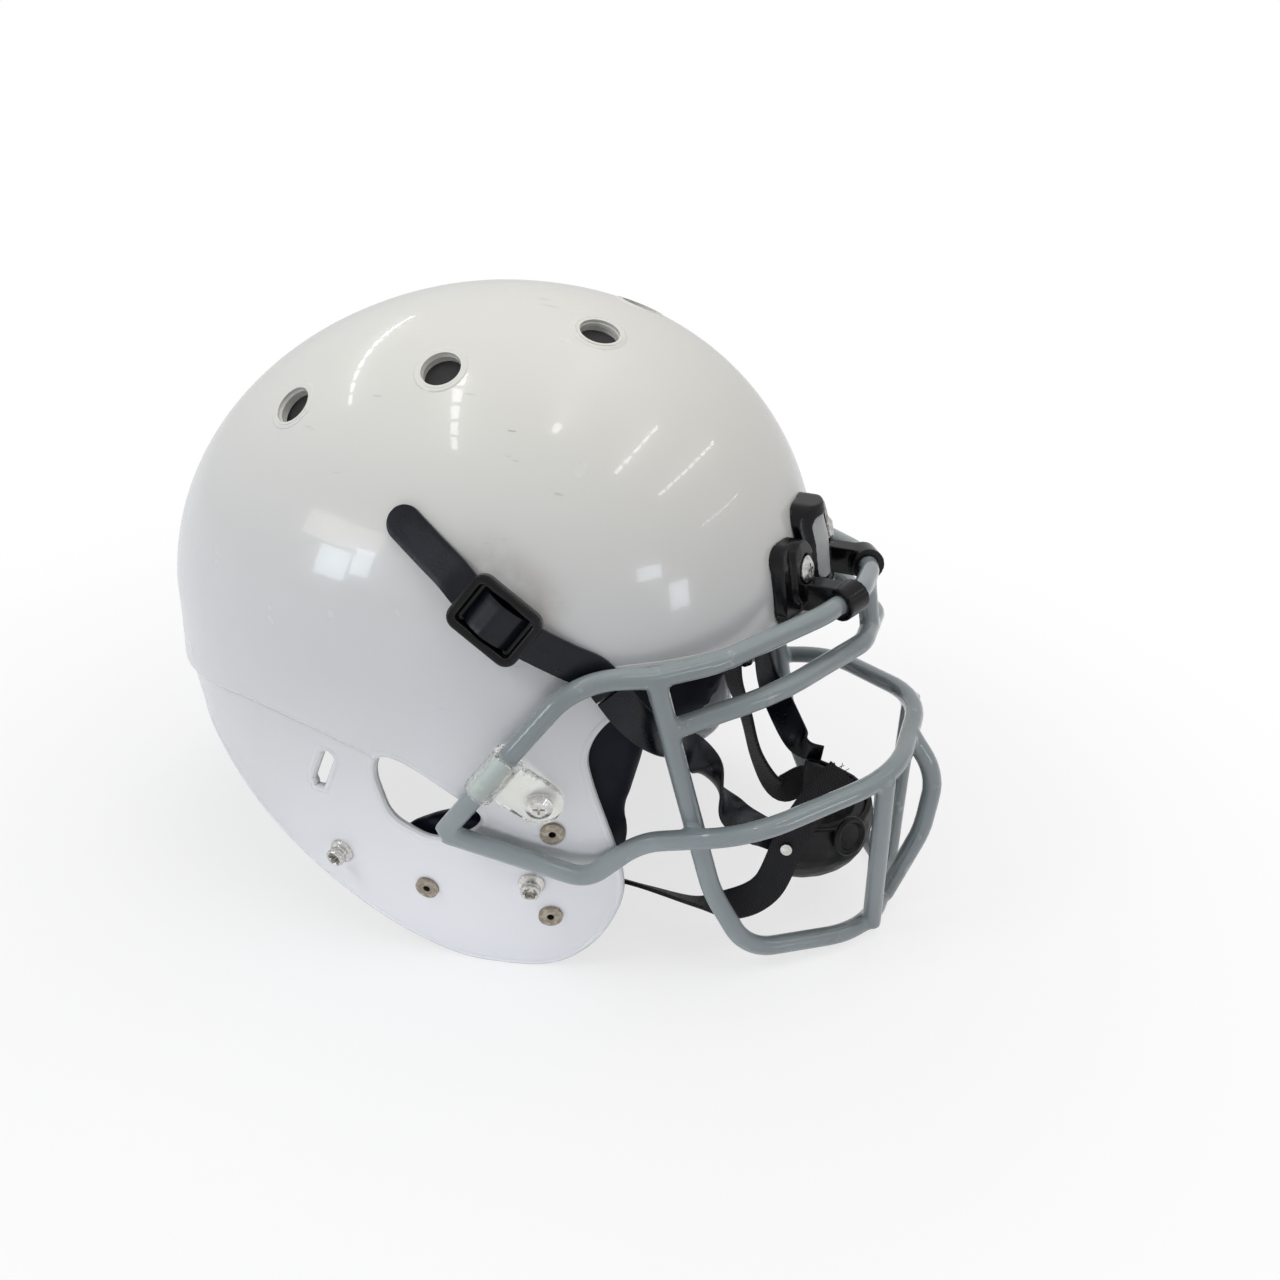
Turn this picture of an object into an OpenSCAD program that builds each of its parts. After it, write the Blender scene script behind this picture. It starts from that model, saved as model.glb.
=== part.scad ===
// Football helmet: shell, wire face guard, clips, snap studs, pads and chin strap.
// It faces -Y, the wearer's right is -X, and it stands on its jaw flaps and the guard's lowest bar.

/* [Shell] */
// Half of the shell's outer width at its widest level
shell_half_w = 114; // [104:1:126]
// Reach of the widest level in front of the middle section
shell_front = 138; // [128:1:150]
// Reach of the widest level behind the middle section
shell_back = 152; // [142:1:164]
// Height of the widest level above the ground
shell_widest_z = 132; // [126:1:140]
// Height of the crown above the ground
shell_top_z = 264; // [252:1:280]
// Thickness of the shell's wall
shell_wall = 3.6; // [3:0.1:4.5]
// Squareness of the plan outline, 2 is a true ellipse
shell_plan_n = 2.16; // [2:0.02:2.3]
// How far the crown leans forward of the widest level
crown_lean = 12; // [6:1:18]
// Share of the width by which the jaw flaps draw in at the ground
flap_draw_in = 0.08; // [0.05:0.01:0.11]
// Share of the rear reach by which the nape draws in at the ground
nape_draw_in = 0.24; // [0.18:0.02:0.3]
// Height of the brow edge of the face opening
brow_z = 147; // [145:0.5:149]
// Height of the nape edge at the rear
nape_z = 78; // [70:1:86]
// Diameter of the round vents
vent_d = 16; // [12:1:18]
// Width of the rear vertical slots
slot_w = 6; // [4:0.5:7]
// Length of the rear vertical slots
slot_len = 20; // [16:1:32]

/* [Face guard] */
// Diameter of the coated guard wire
wire_d = 8.6; // [7.6:0.2:9.2]
// Gap between the guard wire and the shell where the guard lies over it
guard_gap = 3; // [2.4:0.2:4]
// How far the side posts stand in from the shell's side
post_inset = 32; // [29:1:35]
// Reach of the main bar in front of the shell
guard_ahead = 55; // [51:1:60]
// Height of the main bar at its front
main_bar_z = 92; // [88:1:96]
// Reach of the brow rod in front of the shell
brow_ahead = 24; // [22:1:27]
// Height of the brow rod at its front
brow_rod_z = 160; // [158:1:162]
// Reach of the eye rod in front of the brow rod
eye_ahead = 4; // [2:1:6]
// Height of the eye rod at its front
eye_rod_z = 141; // [138:1:143]
// Half distance between the outer front posts at the main bar
front_post_half_w = 38; // [34:1:42]
// Half distance between the outer front posts at the lowest bar
front_foot_half_w = 23; // [20:1:26]

/* [Clips and screws] */
// Diameter of the screw shanks and of the studs' threads
screw_d = 4; // [3.4:0.2:4.6]
// Diameter of the pan heads on the side clips
pan_head_d = 11; // [10:0.5:12]
// Wall of the clear sleeves round the guard wire
sleeve_wall = 2; // [1.6:0.1:2.4]
// Length of the clear sleeves along the guard wire
sleeve_len = 22; // [18:1:24]
// Radius of the side clips' lobe
clip_lobe_r = 9.5; // [8.5:0.5:10.5]
// Width of each brow bracket
bracket_w = 23; // [20:1:25]
// Height of each brow bracket
bracket_h = 34; // [31:1:38]
// Width of the front bumper
bumper_w = 28; // [24:1:30]
// Height of the front bumper
bumper_h = 36; // [33:1:38]
// Thickness of the brow brackets' tabs
bracket_t = 5; // [4:0.5:6]
// Thickness of the front bumper
bumper_t = 11; // [9.5:0.5:12]

/* [Studs and rivets] */
// Diameter of the snap studs' flange
stud_flange_d = 11; // [10:0.5:12]
// Diameter of the snap studs' cap
stud_cap_d = 8.2; // [7.6:0.2:8.8]
// Height of the snap studs above the shell
stud_h = 6.4; // [6:0.2:7]
// Diameter of the jaw rivets' flat head
rivet_head_d = 10; // [9:0.5:11]
// Diameter of the through hole in the jaw rivets
rivet_hole_d = 3; // [2.4:0.2:3.4]

/* [Pads] */
// Thickness of the crown pad at its middle
crown_pad_t = 24; // [20:1:28]
// Thickness of the side, brow and nape pads at their middle
head_pad_t = 20; // [16:1:24]
// Thickness of the jaw pads at their middle
jaw_pad_t = 26; // [20:1:30]
// Gap between a pad and the fastener or the shell that carries it
pad_gap = 0.3; // [0.2:0.1:0.5]

/* [Chin strap] */
// Width of the strap webbing
strap_w = 14; // [12:1:16]
// Thickness of the strap webbing
strap_t = 1.6; // [1.2:0.1:2]
// Length of the snap buckles along the strap
buckle_len = 29; // [26:1:32]
// Width of the snap buckles across the strap
buckle_w = 22; // [20:1:24]
// Half width of the chin cup
cup_half_w = 34; // [30:1:38]
// Depth of the chin cup from its rim to its front
cup_depth = 29; // [25:1:32]
// Half height of the chin cup
cup_half_h = 27; // [24:1:30]
// Height of the chin cup's upper edge over its middle
cup_top = 9; // [8:1:16]
// Wall of the chin cup
cup_wall = 2.4; // [2:0.2:3]

/* [Hidden] */
$fn = 48;
right = -1;
left = 1;
ring_sides = 64;
side_levels = 6;
dome_levels = 10;

// Powers keep the sign, so one formula serves all four quarters of the plan outline.
function signed_pow(v, e) = sign(v) * pow(abs(v), e);
function unit(v) = v / norm(v);
function mirror_x(p) = [-p.x, p.y, p.z];

// A level of the shell, drawn in by off: half width, front reach, rear reach and middle.
function dome_rise(z, off) = (z - shell_widest_z) / (shell_top_z - off - shell_widest_z);
function level(z, off) =
    z >= shell_widest_z
    ? let (h = min(dome_rise(z, off), 1), k = sqrt(1 - h * h))
      [(shell_half_w - off) * k, (shell_front - off) * k, (shell_back - off) * k, -crown_lean * h]
    : let (q = (shell_widest_z - z) / shell_widest_z)
      [(shell_half_w - off) * (1 - flap_draw_in * q * q), shell_front - off,
       (shell_back - off) * (1 - nape_draw_in * q * q), 0];
function level_point(z, t, off) =
    let (s = level(z, off), b = sin(t) < 0 ? s[1] : s[2])
    [s[0] * signed_pow(cos(t), 2 / shell_plan_n), s[3] + b * signed_pow(sin(t), 2 / shell_plan_n), z];
// Half width of the shell's outer face at a place of the side view, drawn in by off.
function shell_x(y, z, off = 0) =
    let (s = level(z, off), b = y < s[3] ? s[1] : s[2], r = min(abs(y - s[3]) / b, 1))
    s[0] * pow(1 - pow(r, shell_plan_n), 1 / shell_plan_n);
// Outward normal of the shell at such a place, on the side given.
function shell_normal(side, y, z) =
    let (e = 0.5)
    unit([side,
          -side * (side * shell_x(y + e, z) - side * shell_x(y - e, z)) / (2 * e),
          -side * (side * shell_x(y, z + e) - side * shell_x(y, z - e)) / (2 * e)]);
function on_shell(side, y, z, off = 0) = [side * shell_x(y, z), y, z] + off * shell_normal(side, y, z);
// Height of the crown at a place of the plan, found by halving.
function crown_z(x, y, lo, hi, n = 24) =
    n == 0 ? lo
    : let (m = (lo + hi) / 2)
        shell_x(y, m) > abs(x) ? crown_z(x, y, m, hi, n - 1) : crown_z(x, y, lo, m, n - 1);

// Puts its children's +Z along a direction, at a point.
module along(p, d) {
    u = unit(d);
    translate(p) rotate([0, acos(u.z), atan2(u.y, u.x)]) children();
}
module both_sides() {
    children();
    mirror([1, 0, 0]) children();
}

// Levels of the closed shell surface, from the ground to just below the crown.
function shell_levels(off) = concat(
    [for (i = [0:side_levels - 1]) shell_widest_z * i / side_levels],
    [for (i = [0:dome_levels - 1])
        shell_widest_z + (shell_top_z - off - shell_widest_z) * sin(90 * i / dome_levels)]);
function ring_points(off) =
    [for (z = shell_levels(off)) for (j = [0:ring_sides - 1]) level_point(z, 360 * j / ring_sides, off)];
function ring_faces(first, flip) =
    [for (i = [0:side_levels + dome_levels - 2]) for (j = [0:ring_sides - 1])
        let (a = first + i * ring_sides + j, b = first + i * ring_sides + (j + 1) % ring_sides)
        flip ? [a, b, b + ring_sides, a + ring_sides] : [a, a + ring_sides, b + ring_sides, b]];
function pole_faces(first, pole, flip) =
    let (last = first + (side_levels + dome_levels - 1) * ring_sides)
    [for (j = [0:ring_sides - 1])
        flip ? [last + j, last + (j + 1) % ring_sides, pole] : [last + j, pole, last + (j + 1) % ring_sides]];

// The whole outer or inner form as a solid, closed at the ground.
module shell_form(off) {
    pole = (side_levels + dome_levels) * ring_sides;
    polyhedron(
        points = concat(ring_points(off), [[0, -crown_lean, shell_top_z - off]]),
        faces = concat(ring_faces(0, false), pole_faces(0, pole, false), [[for (j = [0:ring_sides - 1]) j]]));
}
// The same form as a skin of the wall's thickness, open at the ground.
module shell_skin() {
    ring_count = (side_levels + dome_levels) * ring_sides;
    pole_out = 2 * ring_count;
    polyhedron(
        points = concat(ring_points(0), ring_points(shell_wall),
                        [[0, -crown_lean, shell_top_z], [0, -crown_lean, shell_top_z - shell_wall]]),
        faces = concat(
            ring_faces(0, false), pole_faces(0, pole_out, false),
            ring_faces(ring_count, true), pole_faces(ring_count, pole_out + 1, true),
            [for (j = [0:ring_sides - 1])
                [j, (j + 1) % ring_sides, ring_count + (j + 1) % ring_sides, ring_count + j]]));
}

// Places in the side view, as [y, z].
stud_rear = [28.5, 45];
stud_front = [-55.5, 47.5];
stud_upper = [-44, 169];
rivet_places = [[-11.5, 38], [-64, 74.5], [-62.5, 30.5]];
side_screw = [-59.5, 90.5];
vent_places = [[-24.5, -51, 255.5], [-60.5, -0.5, 244], [-66.5, 61.5, 223]];
slot_middle = [33, 86];
slot_lean = 23;

// Outline of the shell in the side view, as [y, z], front edge first.
shell_outline = [
    [-220, brow_z], [-82, brow_z], [-77.5, brow_z - 5], [-80, brow_z - 10.5], [-87.5, brow_z - 16.5],
    [-79, 121], [-75.5, 110], [-78, 97], [-84, 75], [-89, 55], [-90, 39], [-84, 21], [-74, 8],
    [-60, 0], [-26, 0], [-10, 4.5], [5, 10], [22, 18], [47, 30.5], [76, 46], [107, nape_z - 12],
    [130, nape_z - 3], [150, nape_z], [220, nape_z], [220, shell_top_z + 10], [-220, shell_top_z + 10]];
ear_cutout = [[5, 103], [9, 92], [3, 71], [-15, 63.5], [-32, 70.5], [-38, 80], [-24, 89], [-11, 97]];
corner_r = 5;

// Extrudes a side-view drawing through the whole width.
module through_sides() {
    rotate([90, 0, 90]) linear_extrude(height = 2 * shell_half_w + 40, center = true) children();
}
module shell_profile() {
    through_sides() offset(r = corner_r) offset(delta = -corner_r) polygon(shell_outline);
}
module ear_openings() {
    through_sides() offset(r = corner_r) offset(delta = -corner_r) polygon(ear_cutout);
}
function vent_seat(p) = [p.x, p.y, crown_z(p.x, p.y, shell_widest_z, shell_top_z - 0.1)];
function dome_normal(p) = shell_normal(sign(p.x), p.y, p.z);
module vents() {
    for (p = vent_places) {
        s = vent_seat(p);
        along(s - 14 * dome_normal(s), dome_normal(s)) cylinder(d = vent_d, h = 24);
    }
}
module slot_cut() {
    s = on_shell(right, slot_middle.x, slot_middle.y);
    translate([s.x, s.y, s.z]) rotate([slot_lean, 0, 0]) rotate([0, 90, 0])
        for (z = [-1, 1])
            translate([z * (slot_len - slot_w) / 2, 0, -12]) cylinder(d = slot_w, h = 24);
    translate([s.x, s.y, s.z]) rotate([slot_lean, 0, 0])
        cube([24, slot_w, slot_len - slot_w], center = true);
}
// Reach of the shell's front face at a place of the front view, and its outward normal.
function front_reach(x, z) =
    let (s = level(z, 0)) s[1] * pow(1 - pow(abs(x) / s[0], shell_plan_n), 1 / shell_plan_n) - s[3];
function front_normal(x, z) =
    let (e = 0.5)
    unit([(front_reach(x - e, z) - front_reach(x + e, z)) / (2 * e), -1,
          (front_reach(x, z - e) - front_reach(x, z + e)) / (2 * e)]);
function on_front(x, z, off) = [x, -front_reach(x, z), z] + off * front_normal(x, z);

// T-nuts carry the studs, the side clips and the brow brackets.
bracket_gap = 0.4;
brow_screw = [-(bumper_w / 2 + 7.5), brow_z + 22];
function nut_places() = [stud_rear, stud_front, stud_upper, side_screw];
nut_barrel_d = 6.6;
nut_flange_d = 13;
nut_flange_t = 1;
hole_gap = 0.2;
module wall_holes() {
    for (p = nut_places())
        along(on_shell(right, p.x, p.y, -12), shell_normal(right, p.x, p.y))
            cylinder(d = nut_barrel_d + hole_gap, h = 24);
    for (p = rivet_places)
        along(on_shell(right, p.x, p.y, -12), shell_normal(right, p.x, p.y))
            cylinder(d = nut_barrel_d + hole_gap, h = 24);
    along(on_front(brow_screw.x, brow_screw.y, -12), front_normal(brow_screw.x, brow_screw.y))
        cylinder(d = nut_barrel_d + hole_gap, h = 24);
}
module shell() {
    color([0.9, 0.9, 0.88]) difference() {
        intersection() {
            shell_skin();
            shell_profile();
        }
        ear_openings();
        both_sides() {
            vents();
            slot_cut();
            wall_holes();
        }
    }
}

// Bent wire: straight runs joined by arcs at the inner points, swept as one tube.
guard_colour = [0.55, 0.6, 0.64];
wire_sides = 12;
arc_step = 11;
function turn_at(a, b, c) = acos(max(-1, min(1, unit(b - a) * unit(c - b))));
function arc_points(a, b, c, r) =
    let (turn = turn_at(a, b, c), to_a = unit(a - b), bisector = unit(to_a + unit(c - b)),
         centre = b + bisector * r / cos(turn / 2), u = (b + to_a * r * tan(turn / 2) - centre) / r,
         steps = max(2, ceil(turn / arc_step)))
    [for (k = [0:steps]) centre + r * (u * cos(turn * k / steps) - to_a * sin(turn * k / steps))];
function bent_path(points, bends) =
    let (last = len(points) - 1)
    concat([points[0]],
           [for (i = [1:last - 1]) each arc_points(points[i - 1], points[i], points[i + 1], bends[i - 1])],
           [points[last]]);
function path_tangent(path, i) = unit(path[min(i + 1, len(path) - 1)] - path[max(i - 1, 0)]);
// Side directions carried along the path, so that the tube doesn't twist.
function any_side(t) = unit(cross(t, abs(t.z) < 0.9 ? [0, 0, 1] : [1, 0, 0]));
function carried_sides(path) =
    [for (i = 0, u = any_side(path_tangent(path, 0)); i < len(path);
          i = i + 1, u = i < len(path)
              ? let (t = path_tangent(path, i)) unit(u - t * (u * t))
              : u) u];
module swept_tube(path, radii, sides = wire_sides) {
    us = carried_sides(path);
    last = len(path) - 1;
    polyhedron(
        points = [for (i = [0:last])
            let (u = us[i], v = cross(path_tangent(path, i), u))
            each [for (k = [0:sides - 1])
                path[i] + radii[i] * (u * cos(360 * k / sides) + v * sin(360 * k / sides))]],
        faces = concat(
            [[for (k = [0:sides - 1]) k]],
            [for (i = [0:last - 1]) for (k = [0:sides - 1])
                let (a = i * sides + k, b = i * sides + (k + 1) % sides)
                each [[a, a + sides, b + sides], [a, b + sides, b]]],
            [[for (k = [sides - 1:-1:0]) last * sides + k]]));
}
module bent_wire(points, bends, grow = 0) {
    path = bent_path(points, bends);
    swept_tube(path, [for (p = path) wire_d / 2 + grow]);
}
// The same wire with both ends rounded off.
dome_turns = [25, 50, 75];
module domed_wire(points, bends) {
    path = bent_path(points, bends);
    last = len(path) - 1;
    r = wire_d / 2;
    before = unit(path[0] - path[1]);
    after = unit(path[last] - path[last - 1]);
    swept_tube(
        concat([for (a = reversed(dome_turns)) path[0] + before * r * sin(a)], path,
               [for (a = dome_turns) path[last] + after * r * sin(a)]),
        concat([for (a = reversed(dome_turns)) r * cos(a)], [for (p = path) r],
               [for (a = dome_turns) r * cos(a)]));
}
// A bar's points on the right, its middle and the same points mirrored.
function reversed(v) = [for (i = [len(v) - 1:-1:0]) v[i]];
function mirrored_points(half) = concat(half, [for (p = reversed(half)) mirror_x(p)]);

wire_off = wire_d / 2 + guard_gap;
guard_reach = shell_front + guard_ahead;
brow_reach = shell_front + brow_ahead;
eye_reach = brow_reach + eye_ahead;
post_half_w = shell_half_w - post_inset;
corner = on_shell(right, -23.7, 75.6, wire_off);
// The main bar rises at a steady slope from the jaw flaps to the front.
main_slope = (main_bar_z - 70) / (guard_reach - 99);
function main_z(y) = 70 + main_slope * (-y - 99);
main_half = [
    corner,
    on_shell(right, -76, 57.5, wire_off + 1.2),
    [-post_half_w - 5, -96, main_z(-96) - 1],
    [-post_half_w, -140, main_z(-140)],
    [-34, -(guard_reach - 4), main_z(-(guard_reach - 4))]];
main_bends = [14, 26, 50, 50];
module main_wire() {
    domed_wire(mirrored_points(main_half), concat(main_bends, reversed(main_bends)));
}
module main_rod() {
    color(guard_colour) main_wire();
}

// The brow rod's ends are coped to the main bar's ends, as the side posts are to both.
leg_middle = on_shell(right, -50.9, 117.2, wire_off);
leg_top = on_shell(right, -72, 147.7, wire_off);
brow_half = [
    corner,
    leg_middle,
    leg_top,
    [-post_half_w - 10, -99.3, 147.3],
    [-post_half_w + 6, -120, 150],
    [-36, -(brow_reach - 11), brow_rod_z - 2.5],
    [-12, -brow_reach, brow_rod_z]];
brow_bends = [30, 30, 30, 60, 40, 30];
module brow_wire(grow = 0) {
    bent_wire(mirrored_points(brow_half), concat(brow_bends, reversed(brow_bends)), grow);
}
module brow_rod() {
    color(guard_colour) difference() {
        brow_wire();
        main_wire();
    }
}

chin_bar_z = wire_d / 2;
chin_half = [
    [-post_half_w - 9, -100.5, 145.5],
    [-post_half_w + 1.5, -109.5, 99],
    [-post_half_w + 9.2, -124, 41],
    [-post_half_w + 14, -140, 11],
    [-27, -(guard_reach - 5.5), chin_bar_z]];
chin_bends = [150, 60, 24, 50];
module chin_wire() {
    bent_wire(mirrored_points(chin_half), concat(chin_bends, reversed(chin_bends)));
}
module chin_rod() {
    color(guard_colour) difference() {
        chin_wire();
        main_wire();
        brow_wire();
    }
}

eye_turn = [-post_half_w + 21, -141.5, eye_rod_z - 7];
post_middle = (chin_half[0] + chin_half[1]) / 2;
eye_dip = 2;
eye_half = [
    post_middle + 1.5 * unit(eye_turn - post_middle),
    eye_turn,
    [-15, -eye_reach, eye_rod_z - eye_dip]];
eye_bends = [60, 14];
module eye_wire() {
    bent_wire(mirrored_points(eye_half), concat(eye_bends, reversed(eye_bends)));
}
module eye_rod() {
    color(guard_colour) difference() {
        eye_wire();
        chin_wire();
    }
}

// The front posts stand between the lowest bar and the main bar.
module front_post() {
    color(guard_colour) difference() {
        bent_wire([[-front_post_half_w, -(guard_reach - 8), main_bar_z - 1.5],
                   [-front_post_half_w + 8, -(guard_reach - 7), 49],
                   [-front_foot_half_w - 0.5, -(guard_reach - 6), chin_bar_z]], [90]);
        main_wire();
        chin_wire();
    }
}
module front_post_right() { front_post(); }
module front_post_left() { mirror([1, 0, 0]) front_post(); }
module front_post_centre() {
    color(guard_colour) difference() {
        bent_wire([[0, -(guard_reach - 3), main_bar_z - 1], [0, -(guard_reach + 10), 74],
                   [0, -(guard_reach + 8), 44], [0, -(guard_reach - 4), chin_bar_z]], [30, 60]);
        main_wire();
        chin_wire();
    }
}
// The short link joins the brow rod and the eye rod in the middle.
module nose_link() {
    link = [0, brow_reach - eye_reach, eye_rod_z - eye_dip - brow_rod_z];
    color(guard_colour) difference() {
        along([0, -brow_reach, brow_rod_z], link) cylinder(d = wire_d - 0.6, h = norm(link));
        brow_wire();
        eye_wire();
    }
}

// Clear side clip: a sleeve round the guard's leg, a web and a lobe under the screw.
sleeve_gap = 0.1;
clip_plate_t = 3;
leg_dir = unit(leg_middle - corner);
sleeve_middle = corner + leg_dir * 37;
clip_gap = 0.2;
module side_clip() {
    n = shell_normal(right, side_screw.x, side_screw.y);
    seat = on_shell(right, side_screw.x, side_screw.y, clip_gap);
    sleeve_r = wire_d / 2 + sleeve_gap + sleeve_wall;
    color([0.85, 0.86, 0.84, 0.5]) difference() {
        union() {
            along(sleeve_middle - leg_dir * sleeve_len / 2, leg_dir) cylinder(r = sleeve_r, h = sleeve_len);
            hull() {
                along(seat, n) cylinder(r = clip_lobe_r, h = clip_plate_t);
                along(sleeve_middle - leg_dir * (sleeve_len / 2 - 1), leg_dir)
                    cylinder(r = 1.6, h = sleeve_len - 2);
            }
        }
        along(sleeve_middle - leg_dir * (sleeve_len / 2 + 1), leg_dir)
            cylinder(r = wire_d / 2 + sleeve_gap, h = sleeve_len + 2);
        along(seat - n, n) cylinder(d = screw_d + hole_gap, h = 20);
        along(seat + clip_plate_t * n, n) cylinder(d = pan_head_d + 1, h = 20);
        shell_form(-clip_gap);
    }
}
module side_clip_right() { side_clip(); }
module side_clip_left() { mirror([1, 0, 0]) side_clip(); }

// Pan-head screw with a cross recess, its head's underside at the origin and its shank below.
module pan_screw(head_d, head_h, shank) {
    difference() {
        union() {
            cylinder(d = head_d, h = head_h * 0.6);
            translate([0, 0, head_h * 0.6]) cylinder(d1 = head_d, d2 = head_d * 0.62, h = head_h * 0.4);
            translate([0, 0, -shank]) cylinder(d = screw_d, h = shank + 0.5);
        }
        for (a = [0, 90])
            rotate(a) translate([-head_d * 0.22, -0.5, head_h - 1.4]) cube([head_d * 0.44, 1, 3]);
    }
}
module side_clip_screws() {
    n = shell_normal(right, side_screw.x, side_screw.y);
    color([0.75, 0.75, 0.74]) both_sides()
        along(on_shell(right, side_screw.x, side_screw.y, clip_gap + clip_plate_t), n)
            pan_screw(pan_head_d, 3.4, clip_plate_t + clip_gap + shell_wall);
}

// T-nut: flange inside the shell, barrel through the wall, threaded bore.
module t_nut(barrel) {
    difference() {
        union() {
            translate([0, 0, -nut_flange_t]) cylinder(d = nut_flange_d, h = nut_flange_t);
            cylinder(d = nut_barrel_d, h = barrel);
        }
        translate([0, 0, -nut_flange_t - 1]) cylinder(d = screw_d + 0.1, h = barrel + nut_flange_t + 2);
    }
}
nut_seat = shell_wall + 0.8;
module t_nuts() {
    color([0.6, 0.6, 0.58]) both_sides() {
        for (p = nut_places())
            along(on_shell(right, p.x, p.y, -nut_seat), shell_normal(right, p.x, p.y)) t_nut(shell_wall);
        along(on_front(brow_screw.x, brow_screw.y, -nut_seat), front_normal(brow_screw.x, brow_screw.y))
            t_nut(shell_wall);
    }
}

// Snap stud: flange, neck and rounded cap with a recessed middle.
module snap_stud() {
    neck_d = stud_cap_d - 2.4;
    difference() {
        union() {
            cylinder(d = stud_flange_d, h = 1.2);
            cylinder(d = neck_d, h = stud_h - 1);
            translate([0, 0, stud_h - 3.2]) cylinder(d = stud_cap_d, h = 2.2);
            translate([0, 0, stud_h - 1]) cylinder(d1 = stud_cap_d, d2 = stud_cap_d - 2, h = 1);
            translate([0, 0, -shell_wall + 0.2]) cylinder(d = screw_d, h = shell_wall);
        }
        translate([0, 0, stud_h - 1.2]) cylinder(d = stud_cap_d * 0.42, h = 3);
    }
}
stud_places = [stud_rear, stud_front, stud_upper];
stud_gap = 0.15;
module snap_studs() {
    color([0.8, 0.8, 0.79]) both_sides()
        for (p = stud_places)
            along(on_shell(right, p.x, p.y, stud_gap), shell_normal(right, p.x, p.y)) snap_stud();
}
module jaw_rivets() {
    color([0.6, 0.55, 0.48]) both_sides()
        for (p = rivet_places)
            along(on_shell(right, p.x, p.y, stud_gap), shell_normal(right, p.x, p.y))
                difference() {
                    union() {
                        cylinder(d = rivet_head_d, h = 1.4);
                        translate([0, 0, -shell_wall - 0.5]) cylinder(d = nut_barrel_d, h = shell_wall + 1);
                        translate([0, 0, -shell_wall - 1.5]) cylinder(d = nut_flange_d, h = nut_flange_t);
                    }
                    translate([0, 0, -8]) cylinder(d = rivet_hole_d, h = 16);
                }
}

// Brow bracket: a rounded tab that follows the shell, a raised seat and a loop round the brow rod.
tab_corner_r = 8;
seat_rise = 2;
seat_w = 17;
seat_h = 26;
recess_t = 2;
loop_wall = 2.6;
loop_len = 12;
loop_x = 21;
last_brow = len(brow_half) - 1;
brow_dir = unit(brow_half[last_brow] - brow_half[last_brow - 1]);
loop_middle = brow_half[last_brow] + brow_dir * (loop_x + brow_half[last_brow].x) / -brow_dir.x;
neck_w = 9;
neck_h = 12;
tab_x = -(bumper_w / 2 + bracket_gap + bracket_w / 2);
tab_z = brow_z + 1 + bracket_h / 2;
// Extrudes a front-view drawing, in x and z, through the shell's front.
module through_front() {
    translate([0, -shell_front / 2, 0]) rotate([90, 0, 0]) linear_extrude(height = shell_front) children();
}
module rounded_drawing(middle, w, h, r) {
    translate(middle) offset(r = r) square([w - 2 * r, h - 2 * r], center = true);
}
module brow_clip() {
    n = front_normal(brow_screw.x, brow_screw.y);
    seat = on_front(brow_screw.x, brow_screw.y, clip_gap + bracket_t + seat_rise - recess_t);
    color([0.1, 0.1, 0.1]) difference() {
        union() {
            intersection() {
                shell_form(-clip_gap - bracket_t);
                through_front() rounded_drawing([tab_x, tab_z], bracket_w, bracket_h, tab_corner_r);
            }
            intersection() {
                shell_form(-clip_gap - bracket_t - seat_rise);
                through_front()
                    rounded_drawing([tab_x + (bracket_w - seat_w) / 2, brow_screw.y], seat_w, seat_h,
                                    tab_corner_r);
            }
            along(loop_middle - brow_dir * loop_len / 2, brow_dir)
                cylinder(r = wire_d / 2 + sleeve_gap + loop_wall, h = loop_len);
            translate([-loop_x - neck_w / 2, loop_middle.y, loop_middle.z - neck_h / 2])
                cube([neck_w, -loop_middle.y - shell_front + 8, neck_h]);
        }
        brow_wire(sleeve_gap);
        along(seat - 12 * n, n) cylinder(d = screw_d + hole_gap, h = 24);
        along(seat, n) cylinder(d = pan_head_d + 1, h = 8);
        shell_form(-clip_gap);
    }
}
module brow_clip_right() { brow_clip(); }
module brow_clip_left() { mirror([1, 0, 0]) brow_clip(); }
module brow_screws() {
    off = clip_gap + bracket_t + seat_rise - recess_t + 0.1;
    color([0.75, 0.72, 0.68]) both_sides()
        along(on_front(brow_screw.x, brow_screw.y, off), front_normal(brow_screw.x, brow_screw.y))
            pan_screw(pan_head_d, 3.4, off + shell_wall);
}

// Front bumper: an arched frame round a bare plate, both following the shell.
plate_inset = 4.5;
plate_t = 1.4;
pocket_t = 3;
bumper_z = brow_z + 8 + bumper_h / 2;
module bumper_drawing(inset) {
    rounded_drawing([0, bumper_z], bumper_w - 2 * inset, bumper_h - 2 * inset, 8 - inset * 0.6);
}
module front_bumper() {
    color([0.07, 0.07, 0.07]) difference() {
        intersection() {
            shell_form(-clip_gap - bumper_t);
            through_front() bumper_drawing(0);
        }
        difference() {
            through_front() bumper_drawing(plate_inset);
            shell_form(-clip_gap - bumper_t + pocket_t);
        }
        shell_form(-clip_gap);
    }
}
module bumper_plate() {
    color([0.75, 0.76, 0.74]) difference() {
        intersection() {
            shell_form(-clip_gap - bumper_t + pocket_t - plate_t - 0.1);
            through_front() bumper_drawing(plate_inset + 0.3);
        }
        shell_form(-clip_gap - bumper_t + pocket_t - 0.1);
    }
}

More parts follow.
